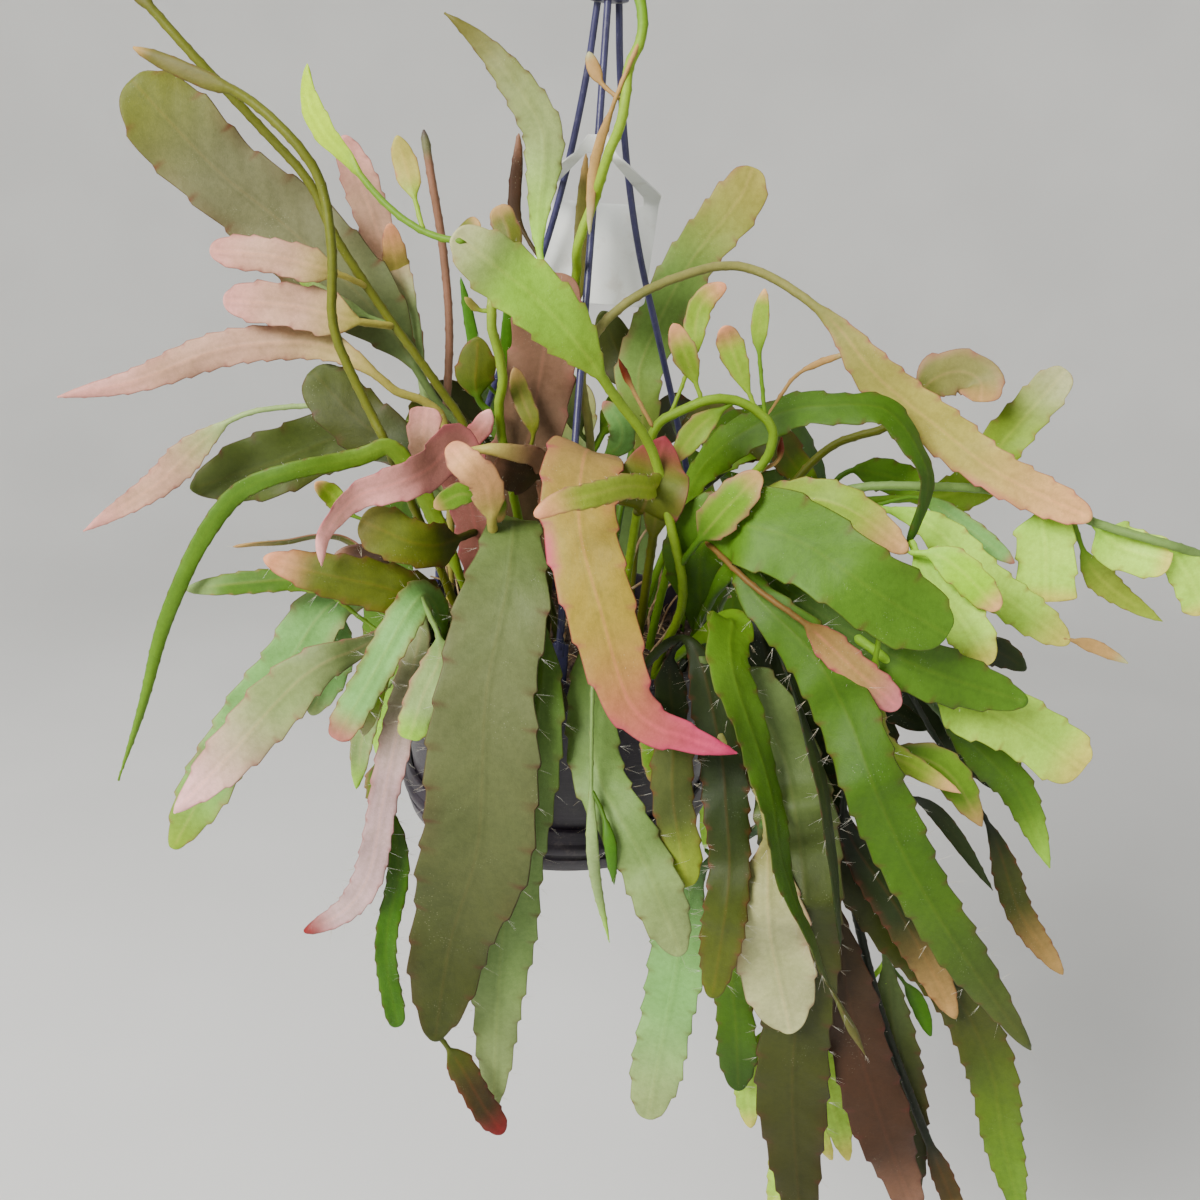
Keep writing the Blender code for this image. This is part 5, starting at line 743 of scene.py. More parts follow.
# The far side's clumps, by rule
farSide = {"clumps": 8, "from": 27.0, "to": 139.0, "seed": 5, "footSpace": 9.5,
           "colours": ("green_deep", "lime_green", "olive_green", "mint", "pale_olive", "green_pink"),
           "drop": (90, 190), "rise": (66, 82), "trailWide": (24, 34), "archWide": (22, 32),
           "sideWide": (18, 28), "endWide": (16, 24), "trailNeck": 0.3, "archNeck": 0.4, "near": 40.0,
           "trailFurther": 18.0}

# How shoots are bent clear of each other, along lines of sight from in front of the pot
bending = {"from": np.array((15.0, -530.0, 200.0)), "step": 5.0, "reach": 4.6, "spacing": 6.0,
           "swapDepth": 14.0, "farApart": 70.0, "rounds": 90, "lastRounds": 15, "pace": 0.7,
           "rooted": 4.0, "forked": 5, "siblings": 4}

pot = {"rimRadius": 80.0, "rimBand": 19.0, "rimWall": 2.5, "wall": 1.8, "shoulder": 77.0, "saucerLine": 70.6,
       "base": -91.5, "baseRadius": 66.0, "saucerTop": -73.0, "beadRadius": 75.0, "drain": 4.5,
       "drainReach": 42.0, "slot": (10.0, 6.6, 3.6), "slotLevel": -8.0}
soil = {"level": -12.0, "seed": 7, "mound": 3.4, "rings": 50,
        "lumps": ((26.0, 0.9), (12.0, 0.7), (5.0, 0.6), (2.6, 0.4)), "lowest": -2.2, "highest": 2.6}
strands = {"radius": 1.9, "cord": 1.5, "headings": {"front": -90.0, "left": 150.0, "right": 30.0},
           "places": ((5.0, 261.7), (8.0, 235.0), (14.5, 200.0), (24.0, 165.0), (37.0, 130.0),
                      (50.0, 95.0), (62.0, 60.0), (72.0, 32.0), (76.0, 14.0))}
tag = {"top": 212.0, "thick": 0.8, "wide": 56.0, "window": 41.0, "narrow": 4.0, "band": 7.0, "slope": 42.0,
       "body": 43.0, "back": 20.0, "gap": 0.3, "corner": 2.2, "wave": 0.9, "edge": 0.18}
blades = {"neckRadius": 1.9, "thinNeck": 0.8, "neckShare": 0.08, "longNeck": 0.6, "rowSpace": 1.7,
          "thick": 0.82, "stoutFrom": 10.0, "edge": 0.3, "rib": 0.55, "ribWide": 1.1, "toothDeep": 1.5,
          "toothShare": 0.14, "toothSpace": (8.0, 16.0), "toothTop": 0.86, "areoleAt": 0.93,
          "areoleWide": 1.5,
          "knot": 0.3, "anchorSpace": 11.0, "tipRun": 5.0, "swingRun": (14, 22), "swing": 0.035,
          "cup": (-0.1, 0.1), "fold": (-0.04, 0.13), "waveRun": (26, 44), "ripple": 1.3, "rippleShare": 0.12,
          "areoleFrom": 3.0, "grainShift": 37.0}


class Shoot:
    def __init__(self, name, tint, wide, path, foot=None, forks=None, neck=0.2, tip=2.0, full=0.4,
                 turn=(0, 0), joined=None):
        self.name = name
        self.parent = forks
        self.foot = foot
        self.tint = tint
        self.wide = wide
        self.path = [np.array(place, float) for place in path]
        self.neck = neck
        self.tip = tip
        self.full = full
        self.turn = turn
        self.joined = joined
        self.join = 0
        self.first = 0
        self.line = None


def at(out, distance, side, aside, level):
    return out * distance + side * aside + np.array((0.0, 0.0, level))


# By turns a clump that arches up and one that trails, each with a side shoot
def farClumps(taken):
    dice = random.Random(farSide["seed"])
    colours = farSide["colours"]
    made = []
    for number in range(farSide["clumps"]):
        share = number / (farSide["clumps"] - 1)
        turn = farSide["from"] + (farSide["to"] - farSide["from"]) * share + dice.uniform(-3, 3)
        turn = math.radians(turn)
        out = np.array((math.cos(turn), math.sin(turn), 0.0))
        side = np.array((-out[1], out[0], 0.0))
        near = farSide["near"] + farSide["trailFurther"] * (number % 2)
        while any(math.hypot(out[0] * near - x, out[1] * near - y) < farSide["footSpace"] for x, y in taken):
            near += 2.0
        foot = (round(out[0] * near), round(out[1] * near))
        taken.append(foot)
        name = "back_%02d" % (number + 1)
        trails = number % 2 == 1
        lean = dice.uniform(-16, 16)
        if trails:
            drop = dice.uniform(*farSide["drop"])
            path = [at(out, 82, side, 0, 62), at(out, 112, side, lean * 0.5, 48),
                    at(out, 132, side, lean, -20), at(out, 134, side, lean * 1.3, -drop)]
            wide = dice.uniform(*farSide["trailWide"])
        else:
            rise = dice.uniform(*farSide["rise"])
            path = [at(out, 60, side, 0, 52), at(out, 84, side, lean * 0.5, rise),
                    at(out, 112, side, lean, rise + 2), at(out, 150, side, lean * 1.6, rise - 24)]
            wide = dice.uniform(*farSide["archWide"])
        turn = (dice.uniform(-25, 25), dice.uniform(-40, 40))
        neck = farSide["trailNeck"] if trails else farSide["archNeck"]
        made.append(Shoot(name, colours[number % 6], wide, path, foot=foot, neck=neck, turn=turn))
        arm = side if lean < 0 else -side
        fork = [path[0], path[1] + at(out, 4, arm, 22, 6), path[1] + at(out, 14, arm, 27, 0),
                path[1] + at(out, 26, arm, 37, -34 if trails else -16)]
        wide = dice.uniform(*farSide["sideWide"])
        made.append(Shoot(name + "_side", colours[(number + 2) % 6], wide, fork, forks=name, neck=0.3,
                          turn=(dice.uniform(-30, 30), 10)))
        if trails:
            end = [path[3], path[3] + at(out, 14, arm, 10, -22), path[3] + at(out, 18, arm, 18, -58)]
            wide = dice.uniform(*farSide["endWide"])
            made.append(Shoot(name + "_end", colours[(number + 4) % 6], wide, end, forks=name, neck=0.1,
                              turn=(dice.uniform(-20, 20), 0)))
    return made


# A Catmull-Rom line through the places, leaving the first one along start
def smoothLine(places, start=None):
    before = places[0] - start if start is not None else 2 * places[0] - places[1]
    rows = [before] + list(places) + [2 * places[-1] - places[-2]]
    line = []
    for a, b, c, d in zip(rows, rows[1:], rows[2:], rows[3:]):
        for t in np.linspace(0, 1, 12, endpoint=False):
            line.append(0.5 * (2 * b + (c - a) * t + (2 * a - 5 * b + 4 * c - d) * t * t
                               + (3 * b - a - 3 * c + d) * t ** 3))
    line.append(places[-1])
    return np.array(line)


def lengths(line):
    return np.concatenate(([0.0], np.cumsum(np.linalg.norm(np.diff(line, axis=0), axis=1))))


def resample(line, along):
    run = lengths(line)
    return np.stack([np.interp(along * run[-1], run, line[:, axis]) for axis in range(3)], axis=1)


def parentsFirst(plant):
    done = {None}
    waiting = list(plant)
    while waiting:
        shoot = waiting.pop(0)
        if shoot.parent in done:
            done.add(shoot.name)
            yield shoot
        else:
            waiting.append(shoot)


def layOut(plant, byName):
    for shoot in parentsFirst(plant):
        if shoot.parent:
            parent = byName[shoot.parent]
            shoot.join = int(np.argmin(np.linalg.norm(parent.line - shoot.path[0], axis=1)))
            line = smoothLine([parent.line[shoot.join]] + shoot.path[1:])
        else:
            top = np.array((shoot.foot[0], shoot.foot[1], soil["level"] + bending["rooted"]))
            line = smoothLine([top] + shoot.path, start=np.array((0.0, 0.0, 40.0)))
        count = max(6, int(round(lengths(line)[-1] / bending["step"])))
        shoot.line = resample(line, np.linspace(0, 1, count + 1))


# The round neck's radius: a small side shoot has a thinner one than a long or a rooted shoot
def neckRadius(shoot):
    if shoot.parent is None or shoot.neck >= blades["longNeck"]:
        return blades["neckRadius"]
    return min(blades["neckRadius"], max(blades["thinNeck"], shoot.wide * blades["neckShare"]))


# Half the blade's width at a share of the shoot's length
def halfWidth(shoot, along):
    neck = neckRadius(shoot)
    blade = (along - shoot.neck) / (1 - shoot.neck) if shoot.neck < 1 else 0
    if blade <= 0:
        return neck
    start = 0.3 + 0.35 * (shoot.tip - 1.2)
    power = 0.9 - 0.33 * (shoot.tip - 1.2)
    opened = min(1.0, blade / shoot.full)
    rise = opened ** 1.5 * (2.5 - 1.5 * opened)
    fall = 1.0 if blade < start else max(0.0, 1 - ((blade - start) / (1 - start)) ** 1.8) ** power
    least = neck * (1.0 if blade < 0.5 else max(0.25, fall))
    return max(shoot.wide / 2 * rise * fall, least)


def directions(line):
    ahead = np.vstack((line[1:], line[-1:] * 2 - line[-2:-1]))
    behind = np.vstack((line[:1] * 2 - line[1:2], line[:-1]))
    run = ahead - behind
    return run / np.linalg.norm(run, axis=1, keepdims=True)


# A blade's side and face directions along a line: it faces the front, but for its turn
def facings(shoot, line, along):
    run = directions(line)
    faces = np.zeros_like(line)
    last = None
    for index in range(len(line) - 1, -1, -1):
        sight = bending["from"] - line[index]
        sight = sight / np.linalg.norm(sight)
        sight = sight - run[index] * sight.dot(run[index])
        if last is not None:
            if sight.dot(last) < 0:
                sight = -sight
            sight = sight + 0.6 * last
            sight = sight - run[index] * sight.dot(run[index])
        last = sight / max(1e-6, np.linalg.norm(sight))
        faces[index] = last
    angle = np.radians(shoot.turn[0] + (shoot.turn[1] - shoot.turn[0]) * along)[:, None]
    sides = np.cross(run, faces)
    turned = sides * np.cos(angle) + faces * np.sin(angle)
    return turned, np.cross(turned, run)


def samplePoints(plant, fixed):
    points, rings, owners = [], [], []
    ring = 0
    for number, shoot in enumerate(plant):
        along = np.linspace(0, 1, len(shoot.line))
        sides, _ = facings(shoot, shoot.line, along)
        shoot.first = ring
        for index, centre in enumerate(shoot.line):
            half = halfWidth(shoot, along[index])
            count = 1 + 2 * int(math.ceil(max(0.0, half - 2.5) / bending["step"]))
            for reach in np.linspace(-half, half, count) if count > 1 else (0.0,):
                points.append(centre + sides[index] * reach)
                rings.append(ring)
                owners.append(number)
            ring += 1
    for centre in fixed:
        points.append(np.array(centre, float))
        rings.append(ring)
        owners.append(-1)
        ring += 1
    return np.array(points), rings, owners, ring


# Pairs of rings that lie over one another in the view, with how far the second lies behind
def crossings(points, rings, owners, related):
    away = points - bending["from"]
    depth = np.linalg.norm(away, axis=1)
    seen = away / depth[:, None]
    tree = KDTree(len(points))
    for index, place in enumerate(seen):
        tree.insert(place, index)
    tree.balance()
    found = {}
    for index in range(len(points)):
        for _, other, _ in tree.find_range(seen[index], bending["reach"] / depth[index]):
            if other <= index or owners[other] == owners[index]:
                continue
            space = depth[other] - depth[index]
            pair = (rings[index], rings[other])
            if related(*pair) or abs(space) > bending["farApart"]:
                continue
            least, most = found.get(pair, (space, space))
            found[pair] = (min(least, space), max(most, space))
    return found


# Bends the shoots clear of each other, with the earlier ones in front
def bendClear(plant, fixed):
    byName = {shoot.name: shoot for shoot in plant}
    layOut(plant, byName)
    points, rings, owners, total = samplePoints(plant, fixed)
    ringOwner = np.full(total, -1)
    ringStep = np.zeros(total, int)
    for number, shoot in enumerate(plant):
        ringOwner[shoot.first:shoot.first + len(shoot.line)] = number
        ringStep[shoot.first:shoot.first + len(shoot.line)] = np.arange(len(shoot.line))

    def related(a, b):
        if ringOwner[a] < 0 or ringOwner[b] < 0:
            return False
        one, two = plant[ringOwner[a]], plant[ringOwner[b]]
        if two.parent == one.name:
            return ringStep[b] < bending["forked"]
        if one.parent == two.name:
            return ringStep[a] < bending["forked"]
        together = one.parent is not None and one.parent == two.parent
        return together and max(ringStep[a], ringStep[b]) < bending["siblings"]

    front, back, needed = [], [], []
    for (a, b), (least, most) in crossings(points, rings, owners, related).items():
        stays = ringOwner[a] < 0 or ringOwner[b] < 0
        swapped = (least + most) / 2 < (0.0 if stays else -bending["swapDepth"])
        front.append(b if swapped else a)
        back.append(a if swapped else b)
        needed.append(bending["spacing"] + most if swapped else bending["spacing"] - least)
    moves = spread(plant, byName, ringOwner >= 0, np.array(front), np.array(back), np.array(needed))
    for shoot in plant:
        sight = shoot.line - bending["from"]
        sight = sight / np.linalg.norm(sight, axis=1, keepdims=True)
        shoot.line = shoot.line + sight * moves[shoot.first:shoot.first + len(shoot.line), None]
    for shoot in plant:
        if shoot.parent:
            shoot.line[0] = byName[shoot.parent].line[shoot.join]
        else:
            shoot.line[0] = np.array((shoot.foot[0], shoot.foot[1], soil["level"] + bending["rooted"]))


# How far each ring moves away from the view, so that each pair ends up the needed space apart
def spread(plant, byName, loose, front, back, needed):
    moves = np.zeros(len(loose))
    for shoot in plant:
        if shoot.parent is None:
            loose[shoot.first:shoot.first + 2] = False
    shareFront = np.where(loose[front], 1.0, 0.0)
    shareBack = np.where(loose[back], 1.0, 0.0)
    both = np.maximum(1.0, shareFront + shareBack)
    for turn in range(bending["rounds"]):
        lack = np.maximum(0.0, needed - (moves[back] - moves[front]))
        pushBack = np.zeros(len(moves))
        pushFront = np.zeros(len(moves))
        np.maximum.at(pushBack, back, lack * shareBack / both)
        np.maximum.at(pushFront, front, lack * shareFront / both)
        moves += bending["pace"] * (pushBack - pushFront)
        for shoot in plant:
            part = moves[shoot.first:shoot.first + len(shoot.line)]
            if shoot.parent:
                part[0] = moves[byName[shoot.parent].first + shoot.join]
            else:
                part[:2] = 0.0
            for _ in range(3 if turn < bending["rounds"] - bending["lastRounds"] else 1):
                part[1:-1] = 0.5 * part[1:-1] + 0.25 * (part[:-2] + part[2:])
                part[-1] = 0.5 * part[-1] + 0.5 * part[-2]
    return moves


def strandLine(heading):
    turn = math.radians(heading)
    places = [np.array((radius * math.cos(turn), radius * math.sin(turn), level))
              for radius, level in strands["places"]]
    return smoothLine(places)


# Where the tag lies, front to back and in height, at a distance down from its top
def tagBend(run):
    levels = [level for _, level in reversed(strands["places"])]
    radii = [radius for radius, _ in reversed(strands["places"])]
    reach = float(np.interp(tag["top"] - 12.0, levels, radii))
    front = -(reach + strands["radius"] + tag["gap"] + tag["thick"] / 2)
    if run <= tag["band"]:
        return front, tag["top"] - run
    share = min(1.0, (run - tag["band"]) / tag["slope"])
    eased = share * share * (3 - 2 * share)
    drop = math.sqrt(tag["slope"] ** 2 - (tag["back"] - front) ** 2)
    level = tag["top"] - tag["band"] - drop * share - max(0.0, run - tag["band"] - tag["slope"])
    return front + (tag["back"] - front) * eased, level


# Half the tag's width, and half its window's, at a distance down from its top
def tagRow(run):
    shoulder = tag["band"] + tag["slope"] * 0.75
    foot = tag["band"] + tag["slope"] + tag["body"]
    if run < shoulder:
        outer = tag["narrow"] + (tag["wide"] / 2 - tag["narrow"]) * run / shoulder
    else:
        outer = tag["wide"] / 2 - 3.5 * (run - shoulder) / (foot - shoulder)
    inner = 0.0
    if tag["band"] <= run < tag["band"] + tag["slope"] + 0.1:
        opened = min(1.0, (run - tag["band"]) / (shoulder - tag["band"] + 3.0))
        inner = tag["narrow"] + (tag["window"] / 2 - tag["narrow"]) * opened
    return outer, inner


def potRadius(level):
    if level > -pot["rimBand"]:
        return pot["rimRadius"]
    if level < pot["saucerTop"]:
        return pot["beadRadius"]
    share = (level + pot["rimBand"]) / (pot["saucerTop"] + pot["rimBand"])
    return pot["shoulder"] + (pot["saucerLine"] - pot["shoulder"]) * share


# Points on the strands, the tag and the front of the pot, which the shoots bend clear of
def fixedPlaces():
    places = []
    for heading in strands["headings"].values():
        places += [tuple(point) for point in resample(strandLine(heading), np.linspace(0, 1, 17))[::2]]
    for run in np.linspace(0, tag["band"] + tag["slope"] + tag["body"], 18):
        y, z = tagBend(run)
        outer, inner = tagRow(run)
        places += [(side, y, z) for side in np.linspace(-outer, outer, 13) if abs(side) >= inner]
    for level in np.arange(-92.0, 1.0, 5.0):
        radius = potRadius(level) + 2.0
        for angle in np.arange(-180.0, 1.0, 4.0):
            turn = math.radians(angle)
            places.append((radius * math.cos(turn), radius * math.sin(turn), level))
    return places


plant = [Shoot(name, **facts) for name, facts in shoots.items()]
plant += farClumps([shoot.foot for shoot in plant if shoot.foot])
bendClear(plant, fixedPlaces())
print("shoots bent clear:", len(plant))


def eased(value, low, high):
    share = np.clip((value - low) / (high - low), 0.0, 1.0)
    return share * share * (3 - 2 * share)


# The margin's teeth: each swells towards the tip and steps in at its areole. A round neck has knots
# there instead. Returns how far the margin reaches out, and how near its areoles each row lies
def teeth(span, half, along, offset, space):
    place = along * span / space + offset
    part = place - np.floor(place)
    top = blades["toothTop"]
    deep = np.minimum(blades["toothDeep"], half * blades["toothShare"]) * eased(half, 2.4, 5.0)
    swell = np.where(part < top, (part / top) ** 1.4, 1 - eased(part, top, 1.0))
    near = np.maximum(1 - np.abs(part - blades["areoleAt"]) * space / blades["areoleWide"], 0.0)
    flat = eased(half, 2.4, 4.0)
    return deep * (swell - 0.75) + blades["knot"] * near * (1 - flat), near * (0.4 + 0.6 * flat)


# The shares across a blade where its skin has points, from its right margin to its left
def acrossShares(wide):
    if wide < 6:
        right = [1.0, 0.8, 0.4]
    elif wide < 14:
        right = [1.0, 0.94, 0.72, 0.38, 0.12]
    else:
        right = [1.0, 0.965, 0.85, 0.64, 0.4, 0.2, 0.07]
    front = right + [0.0] + [-share for share in reversed(right)]
    return np.array(front + front[-2:0:-1] + [1.0])


# The rows of a shoot's skin: its length, the tip's and each row's share of it, and at each row the middle,
# the way on, and the blade's side and face
def rowsOf(shoot):
    steps = max(4, int(round(lengths(shoot.line)[-1] / blades["anchorSpace"])))
    smooth = smoothLine(list(resample(shoot.line, np.linspace(0, 1, steps + 1))))
    if shoot.parent is None:
        foot = np.array((shoot.foot[0], shoot.foot[1], soil["level"] - 5.0))
        smooth = np.vstack((np.linspace(foot, smooth[0], 4)[:-1], smooth))
    span = lengths(smooth)[-1]
    coarse = np.linspace(0, 1, max(5, int(span / bending["step"])))
    coarseSides, _ = facings(shoot, resample(smooth, coarse), coarse)
    rows = max(10, int(span / blades["rowSpace"]))
    tipRun = min(0.2, blades["tipRun"] / span)
    tipRows = 1 - tipRun * np.array((0.7, 0.45, 0.25, 0.12, 0.04, 0.0))
    along = np.concatenate((np.linspace(0, 1 - tipRun, rows), tipRows))
    centre = resample(smooth, along)
    way = directions(centre)
    side = np.stack([np.interp(along, coarse, coarseSides[:, axis]) for axis in range(3)], axis=1)
    side -= way * np.sum(side * way, axis=1, keepdims=True)
    side /= np.linalg.norm(side, axis=1, keepdims=True)
    return span, tipRun, along, centre, way, side, np.cross(side, way)


# Gives the skin's points their place on the blade, their nearness to an areole, and their colours
def paint(mesh, shoot, number, span, along, shares, half, near, dice):
    leaf = np.zeros((len(along), len(shares), 3))
    leaf[:, :, 0] = shares
    leaf[:, :, 1] = along[:, None] * span + number * blades["grainShift"]
    leaf[:, :, 2] = half[:, None]
    skin = np.ones((len(along), len(shares), 4))
    skin[:, :, :3] = skinColours(shoot, along, dice)[:, None, :]
    rim = np.ones((len(along), len(shares), 4))
    edge = tintOf(shoot)[3]
    rim[:, :, :3] = skins[edge]
    rim[:, :, 3] = flushes.get(edge, 0.08)
    for name, kind, field, values in (("leaf", "FLOAT_VECTOR", "vector", leaf),
                                      ("areole", "FLOAT", "value", near),
                                      ("skin", "FLOAT_COLOR", "color", skin),
                                      ("rim", "FLOAT_COLOR", "color", rim)):
        mesh.attributes.new(name, kind, "POINT").data.foreach_set(field, values.ravel())


# One shoot as a grid primitive wrapped round its rib, and where its areoles are
def growShoot(shoot, number):
    dice = random.Random(1000 + number)
    span, tipRun, along, centre, way, side, face = rowsOf(shoot)
    half = np.array([halfWidth(shoot, share) for share in along])
    neck = neckRadius(shoot)
    flat = eased(half, neck, neck + 3.2)
    swing = along * span / dice.uniform(*blades["swingRun"]) + dice.uniform(0, 6)
    half = half * (1 + blades["swing"] * flat * (np.sin(swing) + np.sin(swing * 1.7 + 2.0)))
    slim = np.clip(half / blades["stoutFrom"], 0.5, 1.0)[:, None]
    intoTip = (along - 1 + tipRun) / tipRun
    taper = np.where(along > 1 - tipRun, np.sqrt(np.maximum(0.0, 1 - intoTip ** 2)), 1.0)
    low, high = blades["toothSpace"]
    space = min(high, max(low, shoot.wide * 0.5)) * dice.uniform(0.92, 1.08)
    offset = dice.random()
    right, rightNear = teeth(span, half, along, offset, space)
    left, leftNear = teeth(span, half, along, offset + 0.5, space)
    shares = acrossShares(shoot.wide)
    count = len(shares)
    front = np.where(np.arange(count) <= (count - 1) // 2, 1.0, -1.0)
    c, f = shares[None, :], front[None, :]
    h, b = half[:, None], flat[:, None]
    reach = c * (h + np.where(c > 0, right[:, None], left[:, None]) * np.abs(c) ** 2)
    roundForm = np.sqrt(1 - c ** 2) * np.minimum(h, neck)
    middle = blades["thick"] * (1.15 - 0.35 * along[:, None]) * slim
    body = blades["edge"] + (middle - blades["edge"]) * (1 - np.abs(c) ** 1.6)
    body = body * np.sqrt(1 - np.abs(c) ** 12)
    rib = blades["rib"] * slim * np.exp(-(c * h / blades["ribWide"]) ** 2) * (1 - 0.7 * along[:, None])
    rise = f * (roundForm * (1 - b) + (body + rib) * b) * taper[:, None]
    cup = dice.uniform(*blades["cup"])
    fold = dice.uniform(*blades["fold"])
    wave = 2 * math.pi * along[:, None] * span / dice.uniform(*blades["waveRun"])
    lift = np.sin(wave + dice.uniform(0, 6)) * (c > 0) + np.sin(wave * 0.87 + dice.uniform(0, 6)) * (c < 0)
    ripple = lift * np.minimum(blades["ripple"], h * blades["rippleShare"])
    rise = rise + b * (c ** 2 * (cup * h + ripple) + np.abs(c) * h * fold)
    ends = centre[:, None, :] + side[:, None, :] * (reach * np.where(taper > 0, 1, 0)[:, None])[:, :, None]
    points = ends + face[:, None, :] * rise[:, :, None]
    points[-1] = centre[-1]
    points[0] = centre[0] - way[0] * 0.6
    bpy.ops.mesh.primitive_grid_add(x_subdivisions=count - 1, y_subdivisions=len(along) - 1, size=0.1)
    grown = bpy.context.object
    mesh = grown.data
    mesh.vertices.foreach_set("co", toFrame(points.reshape(-1, 3)).ravel())
    near = np.where(c > 0, rightNear[:, None], leftNear[:, None])
    near = near * np.clip((np.abs(c) - 0.7) / 0.25, 0, 1)
    paint(mesh, shoot, number, span, along, shares, half, near, dice)
    mesh.materials.append(looks["skin"])
    mesh.update()
    return grown, areolesOf(shoot, along, span, space, offset, half, centre, side, way, face)


def tintOf(shoot):
    return ownTints.get(shoot.name, tints[shoot.tint])


# The skin's colour down a shoot: neck, blade and tip, a little lighter or darker from shoot to shoot
def skinColours(shoot, along, dice):
    neck, middle, tip, _, tipShare = tintOf(shoot)
    blade = (along - shoot.neck) / max(0.01, 1 - shoot.neck) if shoot.neck < 1 else along * 0.3
    first, second = np.array(skins[neck]), np.array(skins[middle])
    colours = first + (second - first) * eased(blade, 0.0, 0.5)[:, None]
    ends = eased(blade, 1 - tipShare, 1.0)[:, None]
    colours = colours + (np.array(skins[tip]) - colours) * ends
    return colours * dice.uniform(0.9, 1.1)


# Where the areoles sit, each with its way out, the shoot's way on and the blade's face
def areolesOf(shoot, along, span, space, offset, half, centre, side, way, face):
    found = []
    for sign, shift in ((1.0, offset), (-1.0, offset + 0.5)):
        steps = along * span / space + shift
        for number in range(int(steps[0]) + 1, int(steps[-1]) + 1):
            share = float(np.interp(number - 0.07, steps, along))
            index = min(int(np.searchsorted(along, share)), len(along) - 1)
            if half[index] > blades["areoleFrom"]:
                edge = centre[index] + side[index] * sign * (half[index] - 0.2)
                found.append((edge, side[index] * sign, way[index], face[index]))
    if half[len(half) // 2] > blades["areoleFrom"]:
        found.append((centre[-1], way[-1], way[-1], face[-1]))
    return found


# Welds the active piece and turns its faces outward
def closeUp(weld=0.00001):
    bpy.ops.object.mode_set(mode="EDIT")
    bpy.ops.mesh.select_all(action="SELECT")
    bpy.ops.mesh.remove_doubles(threshold=weld)
    bpy.ops.mesh.normals_make_consistent(inside=False)
    bpy.ops.object.mode_set(mode="OBJECT")


# Joins a clump's shoots into one piece and closes its seams
def joinClump(name, members):
    pick(*members)
    if len(members) > 1:
        bpy.ops.object.join()
    clump = bpy.context.object
    clump.name = name
    clump.data.name = name
    closeUp()
    bpy.ops.object.shade_smooth()
    return clump


# One mesh of many copies of a small form, each set by its own 4 by 4 matrix
def scatter(name, form, matrices, look):
    points = np.array([vertex.co[:] for vertex in form.data.vertices])
    faces = [tuple(face.vertices) for face in form.data.polygons]
    placed = np.concatenate([points @ grid[:3, :3].T + grid[:3, 3] for grid in matrices])
    count = len(points)
    every = [tuple(corner + count * copy for corner in face)
             for copy in range(len(matrices)) for face in faces]
    mesh = bpy.data.meshes.new(name)
    mesh.from_pydata(placed, [], every)
    mesh.materials.append(look)
    made = bpy.data.objects.new(name, mesh)
    bpy.context.scene.collection.objects.link(made)
    bpy.data.objects.remove(form)
    return made


# Which shoots are hairy, how many bristles an areole has there, and how long and thick they are
bristles = {"long": ("giant_olive", "pale_ribbon", "pale_behind", "mint_fall", "mint_red_tip",
                     "mint_short", "bright_strip", "brown_edge", "narrow_mint_1", "green_tongue",
                     "hairy_edge", "orange_leaf", "green_hang", "bright_fold", "long_diagonal",
                     "tan_teeth", "dark_long"),
            "longRange": (2.5, 7.0), "shortRange": (0.6, 1.3), "number": (1, 2, 3, 4), "thick": 0.04,
            "tip": 0.015, "seed": 21, "sunk": 0.2}


def growBristles(spots):
    dice = random.Random(bristles["seed"])
    deselect()
    bpy.ops.mesh.primitive_cone_add(vertices=3, radius1=bristles["thick"], radius2=bristles["tip"], depth=1.0,
                                    location=(0, 0, 0.5))
    form = bpy.context.object
    bpy.ops.object.transform_apply(location=True, rotation=True, scale=True)
    grids = []
    for edge, out, way, face, hairy in spots:
        low, high = bristles["longRange"] if hairy else bristles["shortRange"]
        for _ in range(dice.choice(bristles["number"]) if hairy else 1):
            aim = out + way * dice.uniform(-0.1, 0.9) + face * dice.uniform(-0.6, 0.6)
            aim = aim / np.linalg.norm(aim)
            first = np.cross(aim, (0.31, 0.2, 0.93))
            first = first / np.linalg.norm(first)
            second = np.cross(aim, first)
            long = dice.uniform(low, high)
            grid = np.eye(4)
            grid[:3, :3] = np.stack((first, second, aim * long), axis=1) * mm
            grid[:3, 3] = toFrame(edge - aim * bristles["sunk"])
            grids.append(grid)
    made = scatter("bristles", form, grids, looks["bristle"])
    settleOn(made, "stem_mint")
    print("bristles grown:", len(grids))


def growPlant():
    byName = {shoot.name: shoot for shoot in plant}
    clumps = {}
    spots = []
    for number, shoot in enumerate(plant):
        deselect()
        grown, areoles = growShoot(shoot, number)
        root = shoot
        while root.parent or root.joined:
            root = byName[root.parent or root.joined]
        clumps.setdefault(root.name, []).append(grown)
        spots += [(*areole, shoot.name in bristles["long"]) for areole in areoles]
    for name, members in clumps.items():
        clump = joinClump("stems_" + name, members)
        settleOn(clump, "stem_" + byName[name].tint, "stem_" + name)
    print("clumps grown:", len(clumps))
    growBristles(spots)


growPlant()


# Spins a closed outline of (radius, height) about the pot's axis
def spinOutline(name, outline, look, steps=96):
    deselect()
    bpy.ops.mesh.primitive_circle_add(vertices=len(outline), radius=0.1)
    turned = bpy.context.object
    turned.name = name
    for vertex, (radius, height) in zip(turned.data.vertices, outline):
        vertex.co = toFrame((radius, 0.0, height))
    bpy.ops.object.mode_set(mode="EDIT")
    bpy.ops.mesh.select_all(action="SELECT")
    bpy.ops.mesh.spin(steps=steps, angle=2 * math.pi, center=(0, 0, 0), axis=(0, 0, 1))
    closeUp()
    turned.data.materials.append(look)
    bpy.ops.object.shade_smooth_by_angle(angle=math.radians(40))
    return turned


